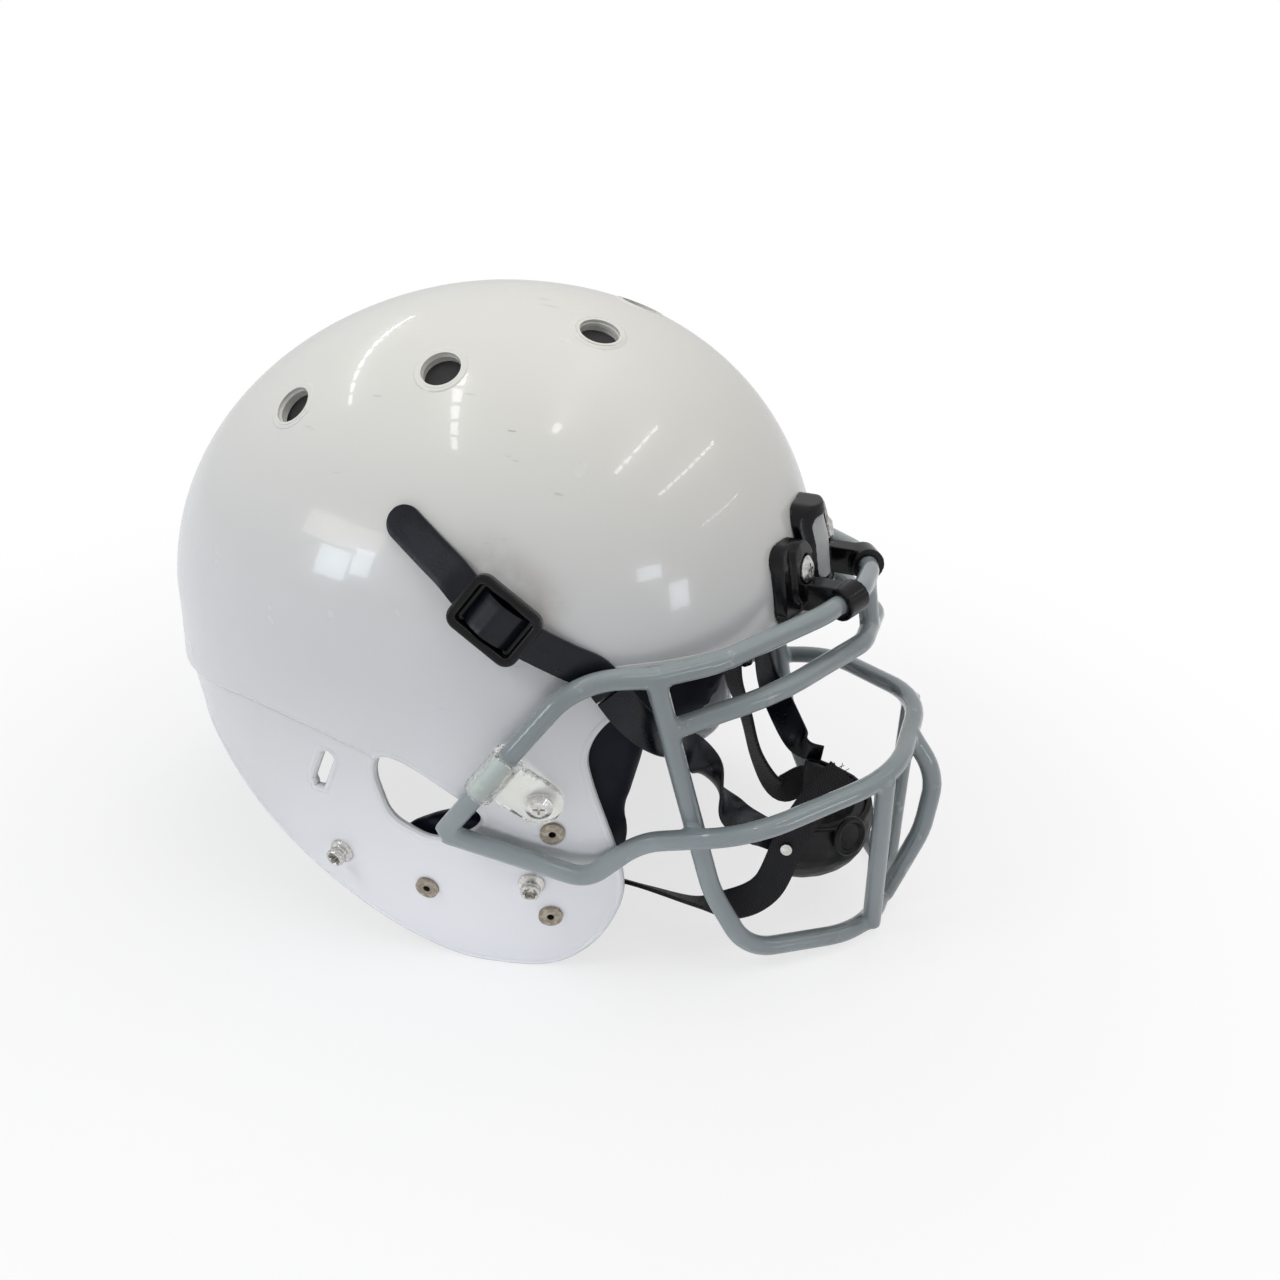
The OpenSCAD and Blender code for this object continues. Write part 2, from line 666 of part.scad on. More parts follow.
// Pads: grids over a patch of the shell's inner face, crowned inward, with drawn-in edges.
pad_cols = 14;
pad_rows = 8;
function patch_z(w, off) =
    w >= 0 ? shell_widest_z + (shell_top_z - off - shell_widest_z) * sin(90 * w) : shell_widest_z * (1 + w);
function patch_point(t, w, off) = level_point(patch_z(w, off), t, off);
function crowning(s) = sqrt(max(0, 1 - pow(abs(2 * s - 1), 3)));
function patch_grid(t0, t1, w0, w1, base, thick) =
    [for (i = [0:pad_rows]) for (j = [0:pad_cols])
        let (u = j / pad_cols, v = i / pad_rows)
        patch_point(t0 + (t1 - t0) * u, w0 + (w1 - w0) * v,
                    base + thick * (0.3 + 0.7 * crowning(u) * crowning(v)))];
function grid_faces(first, flip) =
    [for (i = [0:pad_rows - 1]) for (j = [0:pad_cols - 1])
        let (a = first + i * (pad_cols + 1) + j, b = a + 1, c = b + pad_cols + 1, d = a + pad_cols + 1)
        each flip ? [[a, b, c], [a, c, d]] : [[a, c, b], [a, d, c]]];
module patch_pad(t0, t1, w0, w1, gap, thick) {
    count = (pad_rows + 1) * (pad_cols + 1);
    rim = concat(
        [for (j = [0:pad_cols - 1]) j],
        [for (i = [0:pad_rows - 1]) i * (pad_cols + 1) + pad_cols],
        [for (j = [pad_cols:-1:1]) pad_rows * (pad_cols + 1) + j],
        [for (i = [pad_rows:-1:1]) i * (pad_cols + 1)]);
    polyhedron(
        points = concat(patch_grid(t0, t1, w0, w1, shell_wall + gap, 0),
                        patch_grid(t0, t1, w0, w1, shell_wall + gap, thick)),
        faces = concat(
            grid_faces(0, false), grid_faces(count, true),
            [for (k = [0:len(rim) - 1])
                let (a = rim[k], b = rim[(k + 1) % len(rim)])
                each [[a, b, b + count], [a, b + count, a + count]]]));
}
// The faces of the coarse forms come this close to the shell's own.
facet_gap = 0.5;
crown_from = 0.42;
crown_rings = 7;
crown_sides = 32;
function crown_grid(thick) =
    [for (i = [0:crown_rings - 1]) for (j = [0:crown_sides - 1])
        let (v = i / crown_rings)
        patch_point(360 * j / crown_sides, crown_from + (1 - crown_from) * v,
                    shell_wall + pad_gap + facet_gap + thick * (0.35 + 0.65 * crowning(v / 2)))];
module crown_pad() {
    count = crown_rings * crown_sides;
    color([0.12, 0.1, 0.1]) polyhedron(
        points = concat(crown_grid(0), crown_grid(crown_pad_t),
                        [for (deep = [0, crown_pad_t])
                            patch_point(0, 1, shell_wall + pad_gap + facet_gap + deep)]),
        faces = concat(
            [for (s = [0, 1]) for (i = [0:crown_rings - 2]) for (j = [0:crown_sides - 1])
                let (a = s * count + i * crown_sides + j,
                     b = s * count + i * crown_sides + (j + 1) % crown_sides,
                     c = b + crown_sides, d = a + crown_sides)
                each s == 0 ? [[a, c, b], [a, d, c]] : [[a, b, c], [a, c, d]]],
            [for (j = [0:crown_sides - 1])
                let (a = (crown_rings - 1) * crown_sides + j,
                     b = (crown_rings - 1) * crown_sides + (j + 1) % crown_sides)
                each [[a, 2 * count, b], [a + count, b + count, 2 * count + 1]]],
            [for (j = [0:crown_sides - 1])
                let (a = j, b = (j + 1) % crown_sides)
                each [[a, b, b + count], [a, b + count, a + count]]]));
}
fastener_gap = nut_seat - shell_wall + nut_flange_t + pad_gap;
module brow_pad() {
    color([0.12, 0.1, 0.1]) patch_pad(238, 302, 0.14, crown_from - 0.02, fastener_gap - 0.1, head_pad_t);
}
module side_pad() {
    patch_pad(140, 232, 0.008, crown_from - 0.02, fastener_gap, head_pad_t);
}
module side_pad_right() { color([0.12, 0.1, 0.1]) side_pad(); }
module side_pad_left() { color([0.12, 0.1, 0.1]) mirror([1, 0, 0]) side_pad(); }
module nape_pad() {
    color([0.12, 0.1, 0.1]) patch_pad(48, 132, -0.34, crown_from - 0.02, pad_gap + facet_gap, head_pad_t);
}

// Jaw pad: rings round a middle point, out to a smooth outline in the side view.
jaw_middle = [-62, 60];
jaw_outline = [
    [12, 46], [5, 59], [-8, 69], [-22, 72.5], [-36, 76], [-47, 88], [-54, 112],
    [-66, 130], [-81, 131], [-91, 121], [-94, 107],
    [-91, 91], [-90, 79], [-91, 64], [-86, 44], [-76, 27], [-58, 15], [-28, 12], [0, 21], [12, 33]];
jaw_steps = 3;
jaw_rings = 5;
function curve_point(p0, p1, p2, p3, t) =
    0.5 * (2 * p1 + (p2 - p0) * t + (2 * p0 - 5 * p1 + 4 * p2 - p3) * t * t
           + (3 * p1 - p0 - 3 * p2 + p3) * t * t * t);
function closed_curve(v, steps) =
    [for (i = [0:len(v) - 1]) for (k = [0:steps - 1])
        curve_point(v[(i + len(v) - 1) % len(v)], v[i], v[(i + 1) % len(v)], v[(i + 2) % len(v)], k / steps)];
function open_curve(v, steps) =
    concat([for (i = [0:len(v) - 2]) for (k = [0:steps - 1])
        curve_point(v[max(i - 1, 0)], v[i], v[i + 1], v[min(i + 2, len(v) - 1)], k / steps)],
           [v[len(v) - 1]]);
jaw_rim = closed_curve(jaw_outline, jaw_steps);
function jaw_x(q, off) = -shell_x(q.x, q.y, shell_wall + fastener_gap + off);
function ease(v) = let (t = min(max(v, 0), 1)) t * t * (3 - 2 * t);
// The pad is thin behind the flap's front edge and thick under the cheek and by the ear.
jaw_thin_share = 0.6;
function jaw_depth(s, q) =
    jaw_pad_t * (0.32 + 0.68 * pow(max(0, 1 - pow(s, 3)), 0.5))
    * (1 - jaw_thin_share * ease((-50 - q.x) / 25) * ease((92 - q.y) / 20));
function jaw_ring(s, inner) =
    [for (p = jaw_rim)
        let (q = jaw_middle + (p - jaw_middle) * s)
        [jaw_x(q, inner ? jaw_depth(s, q) : 0), q.x, q.y]];
module jaw_pad() {
    n = len(jaw_rim);
    half = jaw_rings * n;
    color([0.1, 0.08, 0.08]) polyhedron(
        points = concat(
            [for (i = [1:jaw_rings]) each jaw_ring(i / jaw_rings, false)],
            [for (i = [1:jaw_rings]) each jaw_ring(i / jaw_rings, true)],
            [[jaw_x(jaw_middle, 0), jaw_middle.x, jaw_middle.y],
             [jaw_x(jaw_middle, jaw_depth(0, jaw_middle)), jaw_middle.x, jaw_middle.y]]),
        faces = concat(
            [for (s = [0, 1]) for (i = [0:jaw_rings - 2]) for (j = [0:n - 1])
                let (a = s * half + i * n + j, b = s * half + i * n + (j + 1) % n, c = b + n, d = a + n)
                each s == 0 ? [[a, c, b], [a, d, c]] : [[a, b, c], [a, c, d]]],
            [for (j = [0:n - 1]) let (k = (j + 1) % n)
                each [[2 * half, j, k], [2 * half + 1, half + k, half + j]]],
            [for (j = [0:n - 1])
                let (a = (jaw_rings - 1) * n + j, b = (jaw_rings - 1) * n + (j + 1) % n)
                each [[a, b + half, b], [a, a + half, b + half]]]));
}
module jaw_pad_right() { jaw_pad(); }
module jaw_pad_left() { mirror([1, 0, 0]) jaw_pad(); }

// Chin cup: a bowl open to the rear, its liner, front ring and side rivets.
cup_middle = [0, -(guard_reach - 43), 41];
cup_sides = 28;
cup_rings = 7;
cup_sweep = 10;
function cup_point(ring, k, grow) =
    let (f = 90 * ring / cup_rings, a = 360 * k / cup_sides)
    cup_middle + [(cup_half_w + grow) * sin(f) * cos(a),
                  -(cup_depth + grow) * cos(f) + cup_sweep * pow(sin(f), 4) * pow(cos(a), 2),
                  (cup_half_h + grow) * sin(f) * sin(a)];
// Places on the cup's outside: a turn from its front to its rim, and one up from its side.
function cup_spot(side, to_rim, up, off) =
    cup_point(cup_rings * to_rim / 90, cup_sides * (side == right ? 180 - up : up) / 360, off);
cup_lift = 0.8 + strap_t / 2;
lower_cross = cup_middle + [-cup_half_w - 3, 2.5, 4];
lower_face = unit([-0.97, -0.1, 0.2]);
far_cross = cup_spot(left, 78, -10, cup_lift);
far_face = unit([0.98, 0, -0.2]);
rivet_gap = 0.7;
function cup_ring_faces(first, flip) =
    [for (i = [0:cup_rings - 2]) for (k = [0:cup_sides - 1])
        let (a = first + i * cup_sides + k, b = first + i * cup_sides + (k + 1) % cup_sides)
        each flip ? [[a, b, b + cup_sides], [a, b + cup_sides, a + cup_sides]]
                  : [[a, b + cup_sides, b], [a, a + cup_sides, b + cup_sides]]];
module cup_bowl(outer, inner) {
    count = cup_rings * cup_sides;
    rim = (cup_rings - 1) * cup_sides;
    polyhedron(
        points = concat(
            [for (g = [outer, inner]) for (i = [1:cup_rings]) for (k = [0:cup_sides - 1]) cup_point(i, k, g)],
            [cup_point(0, 0, outer), cup_point(0, 0, inner)]),
        faces = concat(
            cup_ring_faces(0, true), cup_ring_faces(count, false),
            [for (k = [0:cup_sides - 1])
                let (j = (k + 1) % cup_sides)
                each [[2 * count, j, k], [2 * count + 1, count + k, count + j],
                      [rim + k, rim + j, rim + count + j], [rim + k, rim + count + j, rim + count + k]]]));
}
cup_liner_t = 4;
// The upper edge is cut level, below the wearer's lip.
module below_lip() {
    difference() {
        children();
        translate(cup_middle + [-2 * cup_half_w, -2 * cup_depth, cup_top])
            cube([4 * cup_half_w, 4 * cup_depth, 2 * cup_half_h]);
    }
}
module chin_cup() {
    color([0.07, 0.07, 0.07]) below_lip() cup_bowl(0, -cup_wall);
}
module cup_liner() {
    color([0.25, 0.25, 0.25]) below_lip() cup_bowl(-cup_wall - pad_gap, -cup_wall - pad_gap - cup_liner_t);
}
// Round boss on the cup's near front: a disc in a raised ring.
boss_d = 15;
boss_t = 1.5;
boss_rim_d = 3;
ring_stand = 0.1;
ring_to_rim = 40;
ring_up = 20;
module cup_ring() {
    seat = cup_spot(right, ring_to_rim, ring_up, ring_stand);
    out = unit(cup_spot(right, ring_to_rim, ring_up, 1) - cup_spot(right, ring_to_rim, ring_up, 0));
    color([0.05, 0.05, 0.05]) along(seat, out) {
        cylinder(d = boss_d, h = boss_t);
        translate([0, 0, boss_rim_d / 2]) rotate_extrude() translate([boss_d / 2, 0]) circle(d = boss_rim_d);
    }
}
module cup_rivets() {
    color([0.7, 0.7, 0.7]) {
        along(lower_cross + (strap_t / 2 + rivet_gap) * lower_face, lower_face) cylinder(d = 5, h = 1.2);
        along(far_cross + (strap_t / 2 + rivet_gap) * far_face, far_face) cylinder(d = 5, h = 1.2);
    }
}

// Webbing: a flat strip through points, each with the direction that its face looks to.
strap_steps = 4;
function strap_side(path, faces, i) =
    let (last = len(path) - 1, t = unit(path[min(i + 1, last)] - path[max(i - 1, 0)]))
    unit(cross(t, faces[i]));
module strap(points, facing, steps = strap_steps) {
    path = open_curve(points, steps);
    faces = open_curve(facing, steps);
    last = len(path) - 1;
    corners = [for (i = [0:last])
        let (w = strap_side(path, faces, i),
             t = unit(path[min(i + 1, last)] - path[max(i - 1, 0)]),
             n = unit(cross(w, t)))
        each [path[i] - w * strap_w / 2 - n * strap_t / 2, path[i] + w * strap_w / 2 - n * strap_t / 2,
              path[i] + w * strap_w / 2 + n * strap_t / 2, path[i] - w * strap_w / 2 + n * strap_t / 2]];
    color([0.08, 0.08, 0.08]) polyhedron(
        points = corners,
        faces = concat(
            [[0, 2, 1], [0, 3, 2]],
            [for (i = [0:last - 1]) for (k = [0:3])
                let (a = 4 * i + k, b = 4 * i + (k + 1) % 4)
                each [[a, b + 4, a + 4], [a, b, b + 4]]],
            [[4 * last + 3, 4 * last + 1, 4 * last + 2], [4 * last + 3, 4 * last, 4 * last + 1]]));
}
strap_gap = 0.5;
strap_lift = strap_gap + strap_t / 2;
function lifted(y, z, more = 0) = on_shell(right, y, z, strap_lift + more);
function facing_at(y, z) = shell_normal(right, y, z);

// Snap buckle: a rounded frame with two strap slots and a socket that snaps on a stud.
buckle_t = 3.6;
buckle_corner_r = 4;
end_bar_w = 2.6;
middle_bar_w = 9.6;
socket_h = 3.4;
socket_wall = 2;
socket_gap = 0.1;
module buckle() {
    slot_long = buckle_len / 2 - end_bar_w - middle_bar_w / 2;
    difference() {
        union() {
            difference() {
                linear_extrude(height = buckle_t)
                    offset(r = buckle_corner_r)
                        square([buckle_len - 2 * buckle_corner_r, buckle_w - 2 * buckle_corner_r],
                               center = true);
                for (s = [-1, 1])
                    translate([s * (middle_bar_w + slot_long) / 2, 0, buckle_t / 2])
                        cube([slot_long, strap_w + 1.2, buckle_t + 2], center = true);
            }
            translate([0, 0, -socket_h]) cylinder(d = stud_cap_d + 2 * socket_wall, h = socket_h + 0.5);
        }
        translate([0, 0, -socket_h - 1]) cylinder(d = stud_cap_d + 2 * socket_gap, h = socket_h + 1);
    }
}
// Turns a buckle so that its length follows the strap.
function run_of(n, run) = unit(run - n * (run * n));
module seated_buckle(p, n, run) {
    x = run_of(n, run);
    y = cross(n, x);
    multmatrix([[x.x, y.x, n.x, p.x], [x.y, y.y, n.y, p.y], [x.z, y.z, n.z, p.z], [0, 0, 0, 1]]) buckle();
}
// The strap goes under the end bars, up through the slots and over the middle bar.
bar_clear = 0.4;
weave_under = -strap_t / 2 - bar_clear;
weave_over = buckle_t + strap_t / 2 + bar_clear;
weave_half = [
    [-buckle_len / 2 + 1, weave_under - 0.5],
    [-buckle_len / 2 + end_bar_w + 1, weave_under + 0.5],
    [-middle_bar_w / 2 - 1.6, weave_over - 0.4]];
weave = concat(weave_half, [[0, weave_over + 0.4]], [for (q = reversed(weave_half)) [-q.x, q.y]]);
function woven(p, n, run) = [for (q = weave) p + run_of(n, run) * q.x + n * q.y];
function repeated(v, count) = [for (i = [1:count]) v];

// The near upper strap: a tail on the shell, through its buckle, and on to the edge of the jaw flap.
buckle_seat = stud_gap + stud_h + 0.1;
upper_run = on_shell(right, -55, 162.5) - on_shell(right, -34, 177);
upper_n = facing_at(stud_upper.x, stud_upper.y);
upper_plate = on_shell(right, stud_upper.x, stud_upper.y, buckle_seat);
flap_edge = [-(shell_half_w - 18.1), -84.8, 140];
flex_gap = 1.2;
flex_dir = unit([0.24, -0.56, -0.79]);
flex_face = [-0.8, -0.55, 0.15];
module upper_strap() {
    strap(concat([lifted(0, 197), lifted(-13, 190), lifted(-25, 183)],
                 woven(upper_plate, upper_n, upper_run),
                 [lifted(-61, 158.8, 0.3), lifted(-69, 153.8), lifted(-78, 147.8, -0.2),
                  flap_edge - flex_dir * flex_gap / 2]),
          concat([facing_at(0, 197), facing_at(-13, 190), facing_at(-25, 183)], repeated(upper_n, len(weave)),
                 [facing_at(-61, 158.8), facing_at(-69, 153.8), facing_at(-78, 147.8), flex_face]));
}
module upper_strap_right() { upper_strap(); }
module upper_strap_left() { mirror([1, 0, 0]) upper_strap(); }
module upper_buckle() {
    color([0.06, 0.06, 0.06]) seated_buckle(upper_plate, upper_n, upper_run);
}
module upper_buckle_right() { upper_buckle(); }
module upper_buckle_left() { mirror([1, 0, 0]) upper_buckle(); }

cup_strap_route = concat(
    [flap_edge + flex_dir * flex_gap / 2, flap_edge + [2.4, -5.5, -8.5],
     flap_edge + [8.4, -10.2, -17.5], flap_edge + [17.4, -14.5, -26.5]],
    [for (d = [[-61, 49.5, 61], [-49, 45, 51], [-45, 39, 42], [-43, 33.5, 31], [-43.5, 25.5, 20],
               [-39.5, 16.5, 12]])
        cup_middle + d],
    [cup_spot(right, 92, 14, cup_lift), cup_spot(right, 78, 12, cup_lift)]);
module cup_strap_right() {
    strap(cup_strap_route,
          [flex_face, [-0.8, -0.55, 0.2], [-0.75, -0.6, 0.25], [-0.2, -0.95, 0.3], [-0.45, -0.7, 0.5],
           [-0.75, -0.3, 0.6], [-0.75, 0.15, 0.5], [-0.49, 0.73, -0.47], [0.6, 0.5, -0.6],
           [0.85, 0.25, -0.45], [0.98, 0, -0.2], [0.98, 0, -0.2]]);
}
module cup_strap_left() {
    strap(concat([for (d = [flex_dir * flex_gap / 2, [2.4, -5.5, -8.5], [9.4, -10.1, -17.5],
                            [18.4, -14.3, -28]])
                      mirror_x(flap_edge + d)],
                 [for (d = [[67, 44, 51], [57, 36.5, 34], [45, 26, 25], [37, 16, 15]]) cup_middle + d],
                 [cup_spot(left, 92, 24, cup_lift), cup_spot(left, 78, 22, cup_lift)]),
          [mirror_x(flex_face), [0.8, -0.55, 0.2], [0.75, -0.6, 0.25], [0.4, -0.85, 0.3], [0.6, -0.7, 0.1],
           [0.7, -0.5, -0.2], [0.8, -0.1, -0.4], [0.9, 0, -0.1], [0.9, 0, 0.35], [0.9, 0, 0.35]]);
}
// The lower straps cross the cup's sides and end in free buckles inside the jaw flaps.
strap_end = 21;
near_plate = [-(shell_half_w - 58), -60, 24];
near_n = unit([0.6, 0, 0.8]);
near_run = [0, 1, 0];
module lower_strap_right() {
    strap(concat([cup_middle + [-17, -14.9, 35.1], cup_middle + [-30, -6.3, 25.6],
                  cup_middle + [-35.8, -0.8, 14.5], lower_cross,
                  cup_middle + [-44, 8, -13.5], cup_middle + [-53, 19, -19],
                  near_plate + [-3, -55, -1.5], near_plate + [-3, -32, -0.5]],
                 woven(near_plate, near_n, near_run),
                 [near_plate + near_run * strap_end + near_n * (weave_under - 1)]),
          concat([[-0.7, -0.1, 0.7], [-0.75, -0.1, 0.65], [-0.9, -0.1, 0.45], lower_face, [-0.8, -0.2, 0.55],
                  [-0.45, -0.1, 0.85], [0.4, 0, 0.9], near_n],
                 repeated(near_n, len(weave) + 1)));
}
far_plate = [shell_half_w - 68, cup_middle.y + 54, cup_middle.z + 57];
far_n = unit([0.75, -0.65, 0.1]);
far_run = [0.15, 0.3, 1];
module lower_strap_left() {
    strap(concat([far_cross - [0.8, 6, 0], far_cross, far_cross + [0.6, 7, -2]],
                 [for (d = [[32, 21, -13], [34, 33, 1], [41, 42, 19], [41.5, 49, 35]]) cup_middle + d],
                 woven(far_plate, far_n, far_run),
                 [far_plate + run_of(far_n, far_run) * strap_end + far_n * (weave_under - 1)]),
          concat([far_face, far_face, far_face, [0.9, -0.3, 0.1], [0.7, -0.6, 0.3], [0.65, -0.65, 0.3],
                  far_n],
                 repeated(far_n, len(weave) + 1)));
}
module lower_buckle_right() {
    color([0.06, 0.06, 0.06]) seated_buckle(near_plate, near_n, near_run);
}
module lower_buckle_left() {
    color([0.06, 0.06, 0.06]) seated_buckle(far_plate, far_n, far_run);
}

shell();
brow_rod();
main_rod();
eye_rod();
chin_rod();
front_post_right();
front_post_left();
front_post_centre();
nose_link();
brow_clip_right();
brow_clip_left();
brow_screws();
front_bumper();
bumper_plate();
side_clip_right();
side_clip_left();
side_clip_screws();
t_nuts();
snap_studs();
jaw_rivets();
crown_pad();
brow_pad();
side_pad_right();
side_pad_left();
nape_pad();
jaw_pad_right();
jaw_pad_left();
chin_cup();
cup_liner();
cup_ring();
cup_rivets();
upper_strap_right();
upper_strap_left();
cup_strap_right();
cup_strap_left();
lower_strap_right();
lower_strap_left();
upper_buckle_right();
upper_buckle_left();
lower_buckle_right();
lower_buckle_left();
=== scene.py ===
"""A football helmet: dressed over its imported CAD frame, in metres."""
from math import atan2, ceil, copysign, cos, degrees, hypot, pi, radians, sin, sqrt, tan

import bpy
import numpy as np
from mathutils import Matrix, Vector


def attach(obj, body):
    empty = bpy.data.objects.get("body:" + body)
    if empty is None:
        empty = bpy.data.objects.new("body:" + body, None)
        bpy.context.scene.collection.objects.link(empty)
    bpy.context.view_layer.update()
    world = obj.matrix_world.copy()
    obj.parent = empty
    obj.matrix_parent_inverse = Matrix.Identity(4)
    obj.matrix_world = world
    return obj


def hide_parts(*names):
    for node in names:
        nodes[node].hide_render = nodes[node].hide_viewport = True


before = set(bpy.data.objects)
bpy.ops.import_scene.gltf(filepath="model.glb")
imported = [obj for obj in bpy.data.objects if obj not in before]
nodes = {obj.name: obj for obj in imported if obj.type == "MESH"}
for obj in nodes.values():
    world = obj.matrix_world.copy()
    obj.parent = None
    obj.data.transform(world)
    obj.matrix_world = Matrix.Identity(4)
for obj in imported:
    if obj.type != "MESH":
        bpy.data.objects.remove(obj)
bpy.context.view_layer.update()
scene = bpy.context.scene

# Camera, floor and light.
# The camera stands where the photograph was taken, to the right of the helmet and above it.
# The light is a soft studio: a pale surround, a warm ceiling, cool daylight from behind, rows of tubes,
# a low glow off the table, and window panes that show only in the gloss.
yaw, pitch, roll = (radians(a) for a in (17.36, 27.47, 2.54))
camera_place, sensor_width = (-0.492, -0.2189, 0.3801), 36
photo_side, focal_pixels = 1280, 1288.1
forward = Vector((cos(pitch) * cos(yaw), cos(pitch) * sin(yaw), -sin(pitch)))
level_right = Vector((sin(yaw), -cos(yaw), 0))
level_up = level_right.cross(forward)
camera_right = cos(roll) * level_right + sin(roll) * level_up
camera_up = cos(roll) * level_up - sin(roll) * level_right
bpy.ops.object.camera_add(location=camera_place)
camera = bpy.context.object
camera.rotation_euler = Matrix((camera_right, camera_up, -forward)).transposed().to_euler()
camera.data.sensor_width = sensor_width
camera.data.lens = sensor_width * focal_pixels / photo_side
camera.data.clip_start = 0.02
scene.camera = camera
scene.view_settings.view_transform = "Standard"

world = bpy.data.worlds.new("studio")
scene.world = world
world.use_nodes = True
surround = world.node_tree
surround.nodes.clear()


def linked(tree, kind, *sources, operation=None):
    """Adds a node to a tree and feeds its first inputs with sockets or numbers."""
    node = tree.nodes.new(kind)
    if operation:
        node.operation = operation
    for socket, source in zip(node.inputs, sources):
        if isinstance(source, (int, float)):
            socket.default_value = source
        elif source:
            tree.links.new(source, socket)
    return node


def maths(tree, operation, *sources):
    """A maths node's result, from sockets or numbers."""
    return linked(tree, "ShaderNodeMath", *sources, operation=operation).outputs[0]


def sees_white(tree, share=0.5):
    """How much of the white ground a ray sees: all straight or through glass, and half in a gloss."""
    ray = tree.nodes.new("ShaderNodeLightPath").outputs
    straight = maths(tree, "MAXIMUM", ray["Is Camera Ray"], ray["Is Transmission Ray"])
    return maths(tree, "MAXIMUM", straight, maths(tree, "MULTIPLY", ray["Is Glossy Ray"], share))


surround_colour, surround_strength = (0.9, 0.93, 1, 1), 0.27
shown = surround.nodes.new("ShaderNodeBackground")
shown.inputs["Color"].default_value = (1, 1, 1, 1)
soft = surround.nodes.new("ShaderNodeBackground")
soft.inputs["Color"].default_value = surround_colour
soft.inputs["Strength"].default_value = surround_strength
either = linked(surround, "ShaderNodeMixShader", sees_white(surround), soft.outputs[0], shown.outputs[0])
linked(surround, "ShaderNodeOutputWorld", either.outputs[0])

floor_size, shade_start, shade_end, shaded = 60, 0.12, 0.5, 0.72
bpy.ops.mesh.primitive_plane_add(size=floor_size)
floor = bpy.context.object
floor.name = "floor"
pale = bpy.data.materials.new("pale_floor")
pale.use_nodes = True
pale.cycles.emission_sampling = "NONE"
ground = pale.node_tree
matt = ground.nodes["Principled BSDF"]
matt.inputs["Base Color"].default_value = (0.93, 0.93, 0.94, 1)
matt.inputs["Roughness"].default_value = 0.8
glow = ground.nodes.new("ShaderNodeEmission")
glow.inputs["Strength"].default_value = 1
spot = ground.nodes.new("ShaderNodeTexCoord")
away = linked(ground, "ShaderNodeVectorMath", spot.outputs["Object"], operation="LENGTH")
fading = ground.nodes.new("ShaderNodeMapRange")
fading.interpolation_type = "SMOOTHSTEP"
ground.links.new(away.outputs["Value"], fading.inputs["Value"])
for key, value in (("From Min", shade_start), ("From Max", shade_end), ("To Min", shaded), ("To Max", 1)):
    fading.inputs[key].default_value = value
whitened = maths(ground, "MULTIPLY", sees_white(ground), fading.outputs[0])
floor_mix = linked(ground, "ShaderNodeMixShader", whitened, matt.outputs[0], glow.outputs[0])
ground.links.new(floor_mix.outputs[0], ground.nodes["Material Output"].inputs[0])
floor.data.materials.append(pale)


def lamp(name, place, size, power, colour, aim=None):
    """One rectangular soft lamp that looks at a point, or straight down."""
    bpy.ops.object.light_add(type="AREA", location=place)
    light = bpy.context.object
    light.name = name
    light.data.shape = "RECTANGLE"
    light.data.size, light.data.size_y = size
    light.data.energy = power
    light.data.color = colour
    if aim:
        light.rotation_euler = (Vector(aim) - Vector(place)).to_track_quat("-Z", "Y").to_euler()
    return light


lamp("ceiling", (0.15, -0.3, 1.5), (1.2, 1.2), 7, (1, 0.96, 0.9)).visible_glossy = False
lamp("daylight", (-0.9, 0.9, 1.4), (0.5, 0.35), 8, (0.9, 0.95, 1), (0, 0, 0.15)).visible_glossy = False
table_glow = lamp("table_glow", (-0.42, -0.04, 0.012), (0.25, 0.1), 0.055, (0.9, 0.92, 1), (-0.1, -0.04, 0))
table_glow.visible_glossy = False
table_glow.data.spread = radians(44)
for name, place, size, power, colour in (
        ("pane_rear", (-1.202, 1.028, 0.328), (0.24, 0.24), 0.9, (0.78, 0.9, 1)),
        ("pane_middle", (-1.321, 0.859, 0.391), (0.13, 0.22), 0.5, (0.78, 0.9, 1)),
        ("pane_wall", (-1.132, 0.993, 0.56), (0.6, 0.2), 0.8, (1, 0.96, 0.9)),
        ("pane_front", (-0.917, -1.284, 0.505), (0.28, 0.13), 0.5, (0.85, 0.93, 1)),
        ("pane_low", (-0.653, -1.472, 0.23), (0.24, 0.26), 0.8, (0.85, 0.93, 1))):
    lamp(name, place, size, power, colour, (0, 0, 0.18)).visible_diffuse = False
tube_height, tube_pitch, tube_size, tube_power = 1.5, 0.19, (0.15, 0.055), 0.21
tube_rows = ((-0.19, -0.49, 0.7), (-0.91, -0.65, 0.1), (-1.64, -0.53, 1), (-3.4, -0.2, 1.6),
             (0.57, -0.9, -0.2), (1.48, -0.2, 1.4))
for row, (y, first, last) in enumerate(tube_rows):
    for k in range(round((last - first) / tube_pitch) + 1):
        lamp(f"tube_{row}_{k}", (first + tube_pitch * k, y, tube_height), tube_size, tube_power, (1, 1, 1))


# Shell.
# The real shell is one moulding of white gloss plastic, 3.6 mm thick, with rounded edges.
# It is a sheet at the middle of the wall, cut to the jaw flaps, thickened and rimmed.
half_width, front_reach, rear_reach = 0.114, 0.138, 0.152
widest, crown_height, wall = 0.132, 0.264, 0.0036
squareness, crown_lean = 2.16, 0.012
flap_draw, nape_draw = 0.08, 0.24


